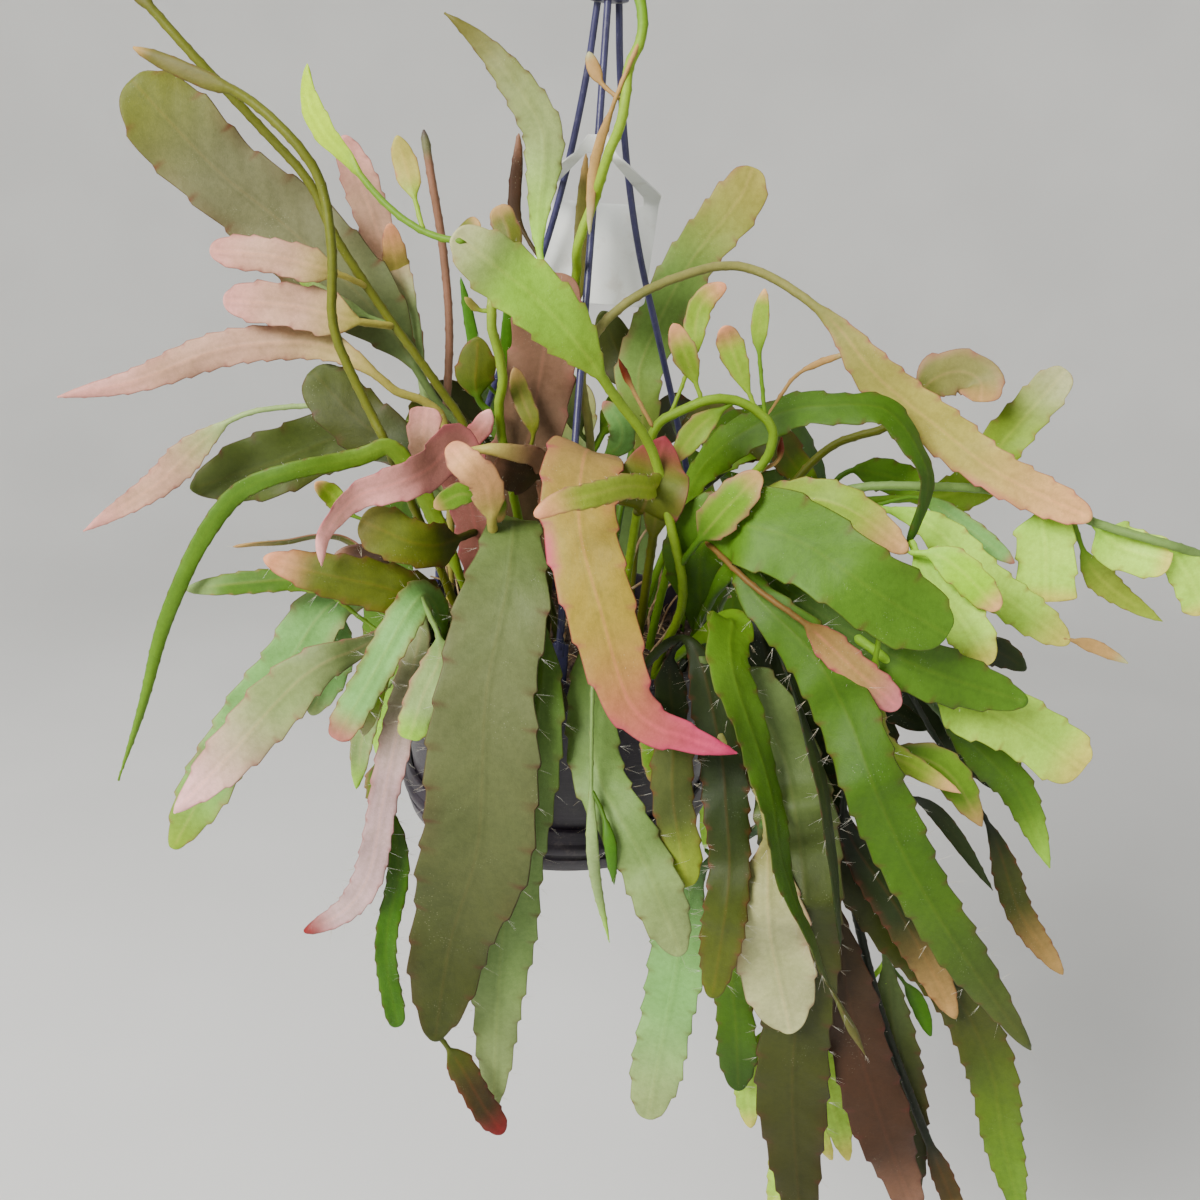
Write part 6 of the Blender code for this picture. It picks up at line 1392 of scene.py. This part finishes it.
def change(piece, kind, **settings):
    pick(piece)
    modifier = piece.modifiers.new(kind.lower(), kind)
    for name, value in settings.items():
        setattr(modifier, name, value)
    bpy.ops.object.modifier_apply(modifier=modifier.name)


def cutWith(piece, cutters):
    for cutter in cutters:
        change(piece, "BOOLEAN", operation="DIFFERENCE", solver="EXACT", object=cutter)
        bpy.data.objects.remove(cutter)


def box(size, centre, heading, soft=0.0):
    deselect()
    bpy.ops.mesh.primitive_cube_add(size=1.0)
    made = bpy.context.object
    turn = Matrix.Rotation(math.radians(heading), 4, "Z")
    grid = Matrix.Translation((0, 0, rimLevel)) @ turn @ Matrix.Translation(Vector(centre) * mm)
    made.data.transform(grid @ Matrix.Diagonal((*[part * mm for part in size], 1.0)))
    if soft:
        change(made, "BEVEL", width=soft * mm, segments=3, limit_method="ANGLE")
    return made


def peg(radius, low, high, x, y):
    deselect()
    bpy.ops.mesh.primitive_cylinder_add(vertices=24, radius=radius * mm, depth=(high - low) * mm)
    made = bpy.context.object
    made.data.transform(Matrix.Translation((x * mm, y * mm, rimLevel + (low + high) / 2 * mm)))
    return made


# The shell's outline goes out under the floor, up to the rim and back down inside, and is spun.
# Then the drains and the slots for the strands' clips are cut
def makePot():
    band, shoulder, line = pot["rimRadius"], pot["shoulder"], pot["saucerLine"]
    low, radius, wall = pot["base"], pot["baseRadius"], pot["wall"]
    inside, bandFoot, under = band - pot["rimWall"], -pot["rimBand"], -pot["rimBand"] - 0.6
    foot = radius + 2.5
    outline = [(6.0, low), (radius - 1.5, low), (radius + 0.6, low + 0.7), (foot - 0.5, low + 2.2),
               (foot, low + 3.8), (line, pot["saucerTop"]), (line + 1.4, -62.0), (line + 3.0, -50.0),
               (shoulder - 1.2, -29.0), (shoulder, under), (band - 0.9, bandFoot),
               (band - 0.15, bandFoot + 0.5), (band, bandFoot + 1.4), (band, -4.6), (band - 0.35, -4.2),
               (band - 0.35, -3.6), (band, -3.2), (band, -1.2), (band - 0.35, -0.35), (band - 0.9, 0.0),
               (inside + 0.7, 0.0), (inside + 0.15, -0.3), (inside, -1.0), (inside, bandFoot + 2.0),
               (shoulder - wall, under), (line - wall, pot["saucerTop"]), (foot - wall, low + 3.8),
               (radius - 1.2, low + wall), (6.0, low + wall)]
    shell = spinOutline("potShell", outline, looks["pot"])
    out = pot["drainReach"]
    cutters = [peg(pot["drain"], low - 2, low + 4, out * math.cos(turn), out * math.sin(turn))
               for turn in (math.pi * (0.25 + 0.5 * step) for step in range(4))]
    cutters += [box(pot["slot"], (band - 2, 0, pot["slotLevel"]), heading)
                for heading in strands["headings"].values()]
    cutWith(shell, cutters)
    pick(shell)
    bpy.ops.object.shade_smooth_by_angle(angle=math.radians(40))
    settleOn(shell, "pot_plastic", "pot")


saucer = {"base": -95.5, "clearance": 0.5}


def makeSaucer():
    base, top = saucer["base"], pot["saucerTop"]
    line = pot["saucerLine"] + saucer["clearance"]
    outline = [(20.0, base + 1.4), (57.6, base + 1.4), (58.6, base + 0.4), (59.4, base), (67.5, base),
               (69.8, base + 0.7), (71.5, base + 2.0), (73.1, base + 7.0), (73.2, base + 8.0),
               (72.5, base + 8.6), (72.3, base + 9.2), (72.3, base + 10.4), (73.2, base + 11.0),
               (74.6, base + 11.5), (75.0, base + 12.4), (75.0, base + 14.0), (74.7, base + 15.2),
               (73.8, base + 16.0), (73.5, base + 16.6), (73.5, top - 0.7), (73.2, top - 0.2), (72.7, top), (line + 0.2, top),
               (line, top - 0.5), (line - 0.4, top - 8.0), (pot["baseRadius"] + 3.2, pot["base"] + 3.0),
               (pot["baseRadius"] + 0.8, pot["base"] - 0.3), (20.0, pot["base"] - 0.3)]
    settleOn(spinOutline("dripSaucer", outline, looks["pot"]), "pot_plastic", "saucer")


# The soil's heaped top: the outline spun, then pushed up and down by waves of several lengths
def makeSoil():
    dice = np.random.default_rng(soil["seed"])
    top, level, rings = pot["shoulder"] - pot["wall"] - 0.8, soil["level"], soil["rings"]
    outline = [(0.0, pot["base"] + 2.1), (pot["baseRadius"] - 1.6, pot["base"] + 2.2),
               (pot["saucerLine"] - 2.6, pot["saucerTop"]), (top - 0.2, -pot["rimBand"] - 1.5),
               (top, level - 2.4)]
    outline += [(top - 1.5 * step, level - 2.2 + soil["mound"] * (step / rings) ** 0.7)
                for step in range(1, rings)]
    outline += [(0.0, level + 1.4)]
    body = spinOutline("pottingSoil", outline, looks["soil"], 120)
    points = np.array([vertex.co[:] for vertex in body.data.vertices])
    flat = points[:, :2] / mm
    lumps = np.zeros(len(points))
    for size, high in soil["lumps"]:
        for _ in range(5):
            turn, phase = dice.uniform(0, 2 * math.pi, 2)
            run = flat[:, 0] * math.cos(turn) + flat[:, 1] * math.sin(turn)
            lumps += high * 0.5 * np.sin(run * 2 * math.pi / size + phase)
    onTop = points[:, 2] > rimLevel + (level - 2.6) * mm
    points[onTop, 2] += np.clip(lumps[onTop], soil["lowest"], soil["highest"]) * mm
    body.data.vertices.foreach_set("co", points.ravel())
    body.data.update()
    settleOn(body, "potting_soil", "soil")


# What lies and stands on the soil: how many, how far out, and how large
crumbs = {"number": 1500, "reach": 74.0, "small": (0.5, 1.6), "large": (1.6, 3.2), "smallShare": 0.85,
          "broad": (0.4, 1.0), "high": (0.3, 0.8), "lift": (-1.0, 2.0)}
fibres = {"number": 90, "reach": 70.0, "edge": 74, "lift": 1.5, "step": (2, 5), "bend": (-0.9, 0.9),
          "climb": (-0.25, 0.3), "thick": (0.12, 0.3)}
stalks = {"number": 34, "reach": (10, 60), "lean": (2, 12), "rise": (9, 20), "sway": (-4, 4),
          "left": (0.6, 1.0), "thick": (0.3, 0.75)}


# A place drawn evenly over a disc
def onDisc(dice, reach):
    out, turn = reach * math.sqrt(dice.random()), dice.uniform(0, 2 * math.pi)
    return out * math.cos(turn), out * math.sin(turn)


# Crumbs of bark and peat, and dry root fibres
def strewSoil():
    dice = random.Random(soil["seed"])
    deselect()
    bpy.ops.mesh.primitive_ico_sphere_add(subdivisions=1, radius=1.0)
    crumb = bpy.context.object
    for vertex in crumb.data.vertices:
        vertex.co *= dice.uniform(0.6, 1.1)
    grids = []
    for _ in range(crumbs["number"]):
        x, y = onDisc(dice, crumbs["reach"])
        size = dice.uniform(*crumbs["small" if dice.random() < crumbs["smallShare"] else "large"])
        turn = dice.uniform(0, 6.28)
        axis = Vector((dice.uniform(-1, 1), dice.uniform(-1, 1), 0.3)).normalized()
        sides = (size, size * dice.uniform(*crumbs["broad"]), size * dice.uniform(*crumbs["high"]))
        grid = Matrix.Rotation(turn, 4, axis) @ Matrix.Diagonal((*[part * mm for part in sides], 1))
        place = toFrame((x, y, soil["level"] + dice.uniform(*crumbs["lift"])))
        grids.append(np.array(Matrix.Translation(place) @ grid))
    settleOn(scatter("soilCrumbs", crumb, grids, looks["soil"]), "potting_soil")
    strewn = []
    for _ in range(fibres["number"]):
        x, y = onDisc(dice, fibres["reach"])
        place = np.array((x, y, soil["level"] + fibres["lift"]))
        heading, bend = dice.uniform(0, 6.28), dice.uniform(*fibres["bend"])
        path = [place]
        for _ in range(5):
            heading += bend * 0.5
            way = np.array((math.cos(heading), math.sin(heading), dice.uniform(*fibres["climb"])))
            place = place + way * dice.uniform(*fibres["step"])
            if math.hypot(place[0], place[1]) > fibres["edge"]:
                break
            path.append(place)
        if len(path) > 2:
            thick = dice.uniform(*fibres["thick"])
            strewn.append(rod("fibre", smoothLine(path)[::4], thick, looks["fibre"], 1))
    joinStrewn(strewn, "rootFibres")
    print("soil strewn:", len(grids), "crumbs and", len(strewn), "fibres")


def joinStrewn(strewn, name):
    pick(*strewn)
    bpy.ops.object.join()
    bpy.context.object.name = name
    settleOn(bpy.context.object, "potting_soil")


# Thin dry stalks left of old shoots, standing among the necks
def strewStalks():
    dice = random.Random(soil["seed"] + 1)
    stood = []
    for _ in range(stalks["number"]):
        reach, turn = dice.uniform(*stalks["reach"]), dice.uniform(0, 2 * math.pi)
        out = np.array((math.cos(turn), math.sin(turn), 0.0))
        place = out * reach + np.array((0.0, 0.0, soil["level"]))
        path = [place]
        lean, rise = dice.uniform(*stalks["lean"]), dice.uniform(*stalks["rise"])
        for step in range(4):
            x, y = dice.uniform(*stalks["sway"]), dice.uniform(*stalks["sway"])
            place = place + np.array((x, y, rise * (1 - 0.15 * step))) + out * lean * (0.4 + 0.4 * step)
            path.append(place)
        line = smoothLine(path)
        kept = line[:int(len(line) * dice.uniform(*stalks["left"])):3]
        stood.append(rod("stalk", kept, dice.uniform(*stalks["thick"]), looks["fibre"], 1))
    joinStrewn(stood, "dryStalks")
    print("stalks stood:", len(stood))


# A round rod along places in millimetres, with closed ends
def rod(name, places, radius, look, fineness):
    deselect()
    bpy.ops.curve.primitive_nurbs_path_add(radius=0.01)
    drawn = bpy.context.object
    curve = drawn.data
    curve.splines.clear()
    path = curve.splines.new("POLY")
    path.points.add(len(places) - 1)
    for point, place in zip(path.points, toFrame(places)):
        point.co = (*place, 1.0)
    curve.dimensions = "3D"
    curve.bevel_depth = radius * mm
    curve.bevel_resolution = fineness
    curve.use_fill_caps = True
    bpy.ops.object.convert(target="MESH")
    made = bpy.context.object
    made.name = name
    made.data.materials.clear()
    made.data.materials.append(look)
    closeUp(0.000001)
    bpy.ops.object.shade_smooth_by_angle(angle=math.radians(50))
    return made


# A clip's plate, its nub in the pot's slot and the swell above: size, place from the rim's wall, rounding
clip = {"plate": ((2.3, 7.5, 29.0), (-1.15, 0, 1.5), 0.7), "nub": ((3.5, 6.0, 3.0), (0.85, 0, -8.0), 0.4),
        "swell": ((3.4, 5.0, 7.0), (-1.4, 0, 13.5), 1.2)}


# A strand: the rod down to the rim, and its clip there
def makeStrand(side, heading):
    line = resample(strandLine(heading), np.linspace(0, 1, 60))
    reach = pot["rimRadius"] - pot["rimWall"] - 0.9
    parts = [rod("strand", line, strands["cord"], looks["strand"], 3)]
    parts += [box(size, (reach + x, y, z), heading, soft) for size, (x, y, z), soft in clip.values()]
    for part in parts[1:]:
        part.data.materials.append(looks["strand"])
    pick(*parts)
    bpy.ops.object.join()
    bpy.ops.object.shade_smooth_by_angle(angle=math.radians(40))
    bpy.context.object.name = "strand" + side.capitalize()
    settleOn(bpy.context.object, "hanger_plastic", "hanger_strand_" + side)


# The collar where the strands meet, and the hook: an arc of tube from the collar round to its tip
hook = {"collarLow": 262.0, "collarHigh": 284.0, "collarRadius": 8.5, "tube": 2.4, "radius": 11.4,
        "from": -15, "turn": 200}


def makeHook():
    low, high, radius = hook["collarLow"], hook["collarHigh"], hook["collarRadius"]
    outline = [(0, low), (radius - 1.4, low), (radius - 0.4, low + 0.4), (radius, low + 1.4),
               (radius, low + 3.2), (radius - 0.5, low + 3.6), (radius - 0.5, low + 4.2), (radius, low + 4.6),
               (radius, low + 9.0), (radius - 0.6, low + 10.2), (radius - 3.0, high - 4.5),
               (radius - 4.2, high - 1.0), (radius - 4.8, high), (0, high)]
    collar = spinOutline("collar", outline, looks["strand"], 48)
    centre = -rimLevel / mm - (hook["radius"] - hook["tube"])
    places = [(0, 0, high - 4.0), (1.5, 0, high + 0.5), (hook["radius"] * 0.72, 0, high + 6.0)]
    for step in range(13):
        angle = math.radians(hook["from"] + hook["turn"] * step / 12)
        places.append((hook["radius"] * math.cos(angle), 0, centre + hook["radius"] * math.sin(angle)))
    places += [(-hook["radius"] - 0.6, 0, centre - 5.0), (-hook["radius"] - 2.8, 0, centre - 8.5)]
    line = resample(smoothLine([np.array(place, float) for place in places]), np.linspace(0, 1, 60))
    arc = rod("arc", line, hook["tube"], looks["strand"], 4)
    pick(collar, arc)
    bpy.ops.object.join()
    collar.name = "hangerHook"
    settleOn(collar, "hanger_plastic", "hanger_hook")


# The bare tag: a sheet cut to its outline and window, bent over the strands, with softened edges
def makeTag():
    runEnd = tag["band"] + tag["slope"]
    foot = runEnd + tag["body"]
    rows = (np.linspace(0, tag["band"], 4), np.linspace(tag["band"], runEnd, 22),
            np.linspace(runEnd, foot, 16), (foot - 0.6, foot - 1.6))
    runs = sorted(set(np.round(np.concatenate(rows), 3)))
    deselect()
    bpy.ops.mesh.primitive_grid_add(x_subdivisions=15, y_subdivisions=len(runs) - 1, size=0.1)
    sheet = bpy.context.object
    sheet.name = "careTag"
    points = []
    for run in runs:
        outer, inner = tagRow(run)
        outer -= tag["corner"] * max(0.0, (run - foot + tag["corner"]) / tag["corner"]) ** 2
        inner = inner or outer / 3
        y, z = tagBend(run)
        edge = np.linspace(inner, outer, 6)
        sides = [*np.linspace(-outer, -inner, 6), *np.linspace(-inner, inner, 6)[1:-1], *edge]
        for side in sides:
            lean = tag["wave"] * math.sin(side * 0.09 + 0.4) * max(0.0, run - runEnd) / tag["body"]
            points.append((side, y - lean, z))
    sheet.data.vertices.foreach_set("co", toFrame(points).ravel())
    sheet.data.update()
    bpy.ops.object.mode_set(mode="EDIT")
    bpy.ops.mesh.select_all(action="DESELECT")
    bpy.ops.object.mode_set(mode="OBJECT")
    first, last = runs.index(tag["band"]), runs.index(runEnd)
    for face in sheet.data.polygons:
        row, column = divmod(face.index, 15)
        face.select = first <= row < last and 5 <= column < 10
    bpy.ops.object.mode_set(mode="EDIT")
    bpy.ops.mesh.delete(type="FACE")
    bpy.ops.mesh.select_all(action="SELECT")
    bpy.ops.mesh.normals_make_consistent(inside=False)
    bpy.ops.object.mode_set(mode="OBJECT")
    sheet.data.materials.append(looks["tag"])
    change(sheet, "SOLIDIFY", thickness=tag["thick"] * mm, offset=0.0, use_even_offset=True)
    change(sheet, "BEVEL", width=tag["edge"] * mm, segments=2, limit_method="ANGLE",
           angle_limit=math.radians(60))
    pick(sheet)
    bpy.ops.object.shade_smooth_by_angle(angle=math.radians(50))
    settleOn(sheet, "tag_plastic", "care_tag")


makePot()
makeSaucer()
makeSoil()
strewSoil()
strewStalks()
for side, heading in strands["headings"].items():
    makeStrand(side, heading)
makeHook()
makeTag()
print("pot, saucer, soil, hanger and tag made")

# In metres. The eye's height is over the rim, and the camera looks down by pitch and leans by roll
studio = {"floor": -0.85, "floorSize": 1.6, "bend": 0.9, "wall": 2.2, "middle": (0.03, -0.05, -0.28),
          "sky": 0.1, "skyColour": (0.93, 0.96, 1.0, 1.0), "eye": (0.015, -0.530, 0.2), "pitch": 19.8,
          "roll": 4.4, "lens": 36.0}
# Each lamp's place, size, power and colour
lamps = {"keyLight": ((-1.0, -1.15, 0.75), 0.9, 72.0, (1.0, 0.985, 0.96)),
         "fillLight": ((1.3, -1.1, 0.25), 1.2, 3.2, (0.95, 0.98, 1.0)),
         "topLight": ((-0.2, 0.5, 1.2), 1.2, 8.0, (1.0, 1.0, 1.0))}


# A pale floor that curves up all round into a plain backdrop
def makeFloor():
    look = Look("studio_floor")
    tone = look.noise(3.0, 2.0)
    look.finish(look.mix(tone.step(0.3, 0.7), shade(224, 224, 222), shade(230, 230, 228)), 0.85)
    deselect()
    bend = studio["bend"]
    bpy.ops.mesh.primitive_circle_add(vertices=96, radius=studio["floorSize"] + bend,
                                      location=(0, 0, studio["floor"] + bend + studio["wall"]))
    floor = bpy.context.object
    floor.name = "studioFloor"
    bpy.ops.object.mode_set(mode="EDIT")
    bpy.ops.mesh.select_all(action="SELECT")
    bpy.ops.mesh.extrude_region_move(TRANSFORM_OT_translate={"value": (0, 0, -studio["wall"])})
    reach, level = studio["floorSize"] + bend, bend
    for step in range(1, 13):
        turn = math.radians(90 * (12 - step) / 12)
        toReach = studio["floorSize"] + bend * math.sin(turn)
        toLevel = bend * (1 - math.cos(turn))
        bpy.ops.mesh.extrude_region_move(TRANSFORM_OT_translate={"value": (0, 0, toLevel - level)})
        bpy.ops.transform.resize(value=(toReach / reach, toReach / reach, 1.0), center_override=(0, 0, 0))
        reach, level = toReach, toLevel
    bpy.ops.mesh.edge_face_add()
    bpy.ops.mesh.select_all(action="SELECT")
    bpy.ops.mesh.normals_make_consistent(inside=True)
    bpy.ops.object.mode_set(mode="OBJECT")
    bpy.ops.object.shade_smooth()
    floor.data.materials.append(look.material)


def areaLight(name, place, size, power, colour):
    light = bpy.data.lights.new(name, "AREA")
    light.shape = "DISK"
    light.size = size
    light.energy = power
    light.color = colour
    lamp = bpy.data.objects.new(name, light)
    bpy.context.scene.collection.objects.link(lamp)
    lamp.location = place
    lamp.rotation_euler = (Vector(studio["middle"]) - Vector(place)).to_track_quat("-Z", "Y").to_euler()


def makeStage():
    makeFloor()
    for name, facts in lamps.items():
        areaLight(name, *facts)
    world = bpy.data.worlds.new("studio")
    world.use_nodes = True
    sky = world.node_tree.nodes["Background"]
    sky.inputs["Color"].default_value = studio["skyColour"]
    sky.inputs["Strength"].default_value = studio["sky"]
    bpy.context.scene.world = world


def makeCamera():
    pitch, roll = math.radians(studio["pitch"]), math.radians(studio["roll"])
    ahead = Vector((0, math.cos(pitch), -math.sin(pitch)))
    level, rise = Vector((1, 0, 0)), Vector((0, math.sin(pitch), math.cos(pitch)))
    right = level * math.cos(roll) + rise * math.sin(roll)
    up = rise * math.cos(roll) - level * math.sin(roll)
    lens = bpy.data.cameras.new("camera")
    lens.lens = studio["lens"]
    lens.sensor_width = studio["lens"]
    camera = bpy.data.objects.new("camera", lens)
    bpy.context.scene.collection.objects.link(camera)
    turn = Matrix((right, up, -ahead)).transposed().to_4x4()
    x, y, z = studio["eye"]
    camera.matrix_world = Matrix.Translation((x, y, z + rimLevel)) @ turn
    bpy.context.scene.camera = camera


makeStage()
makeCamera()
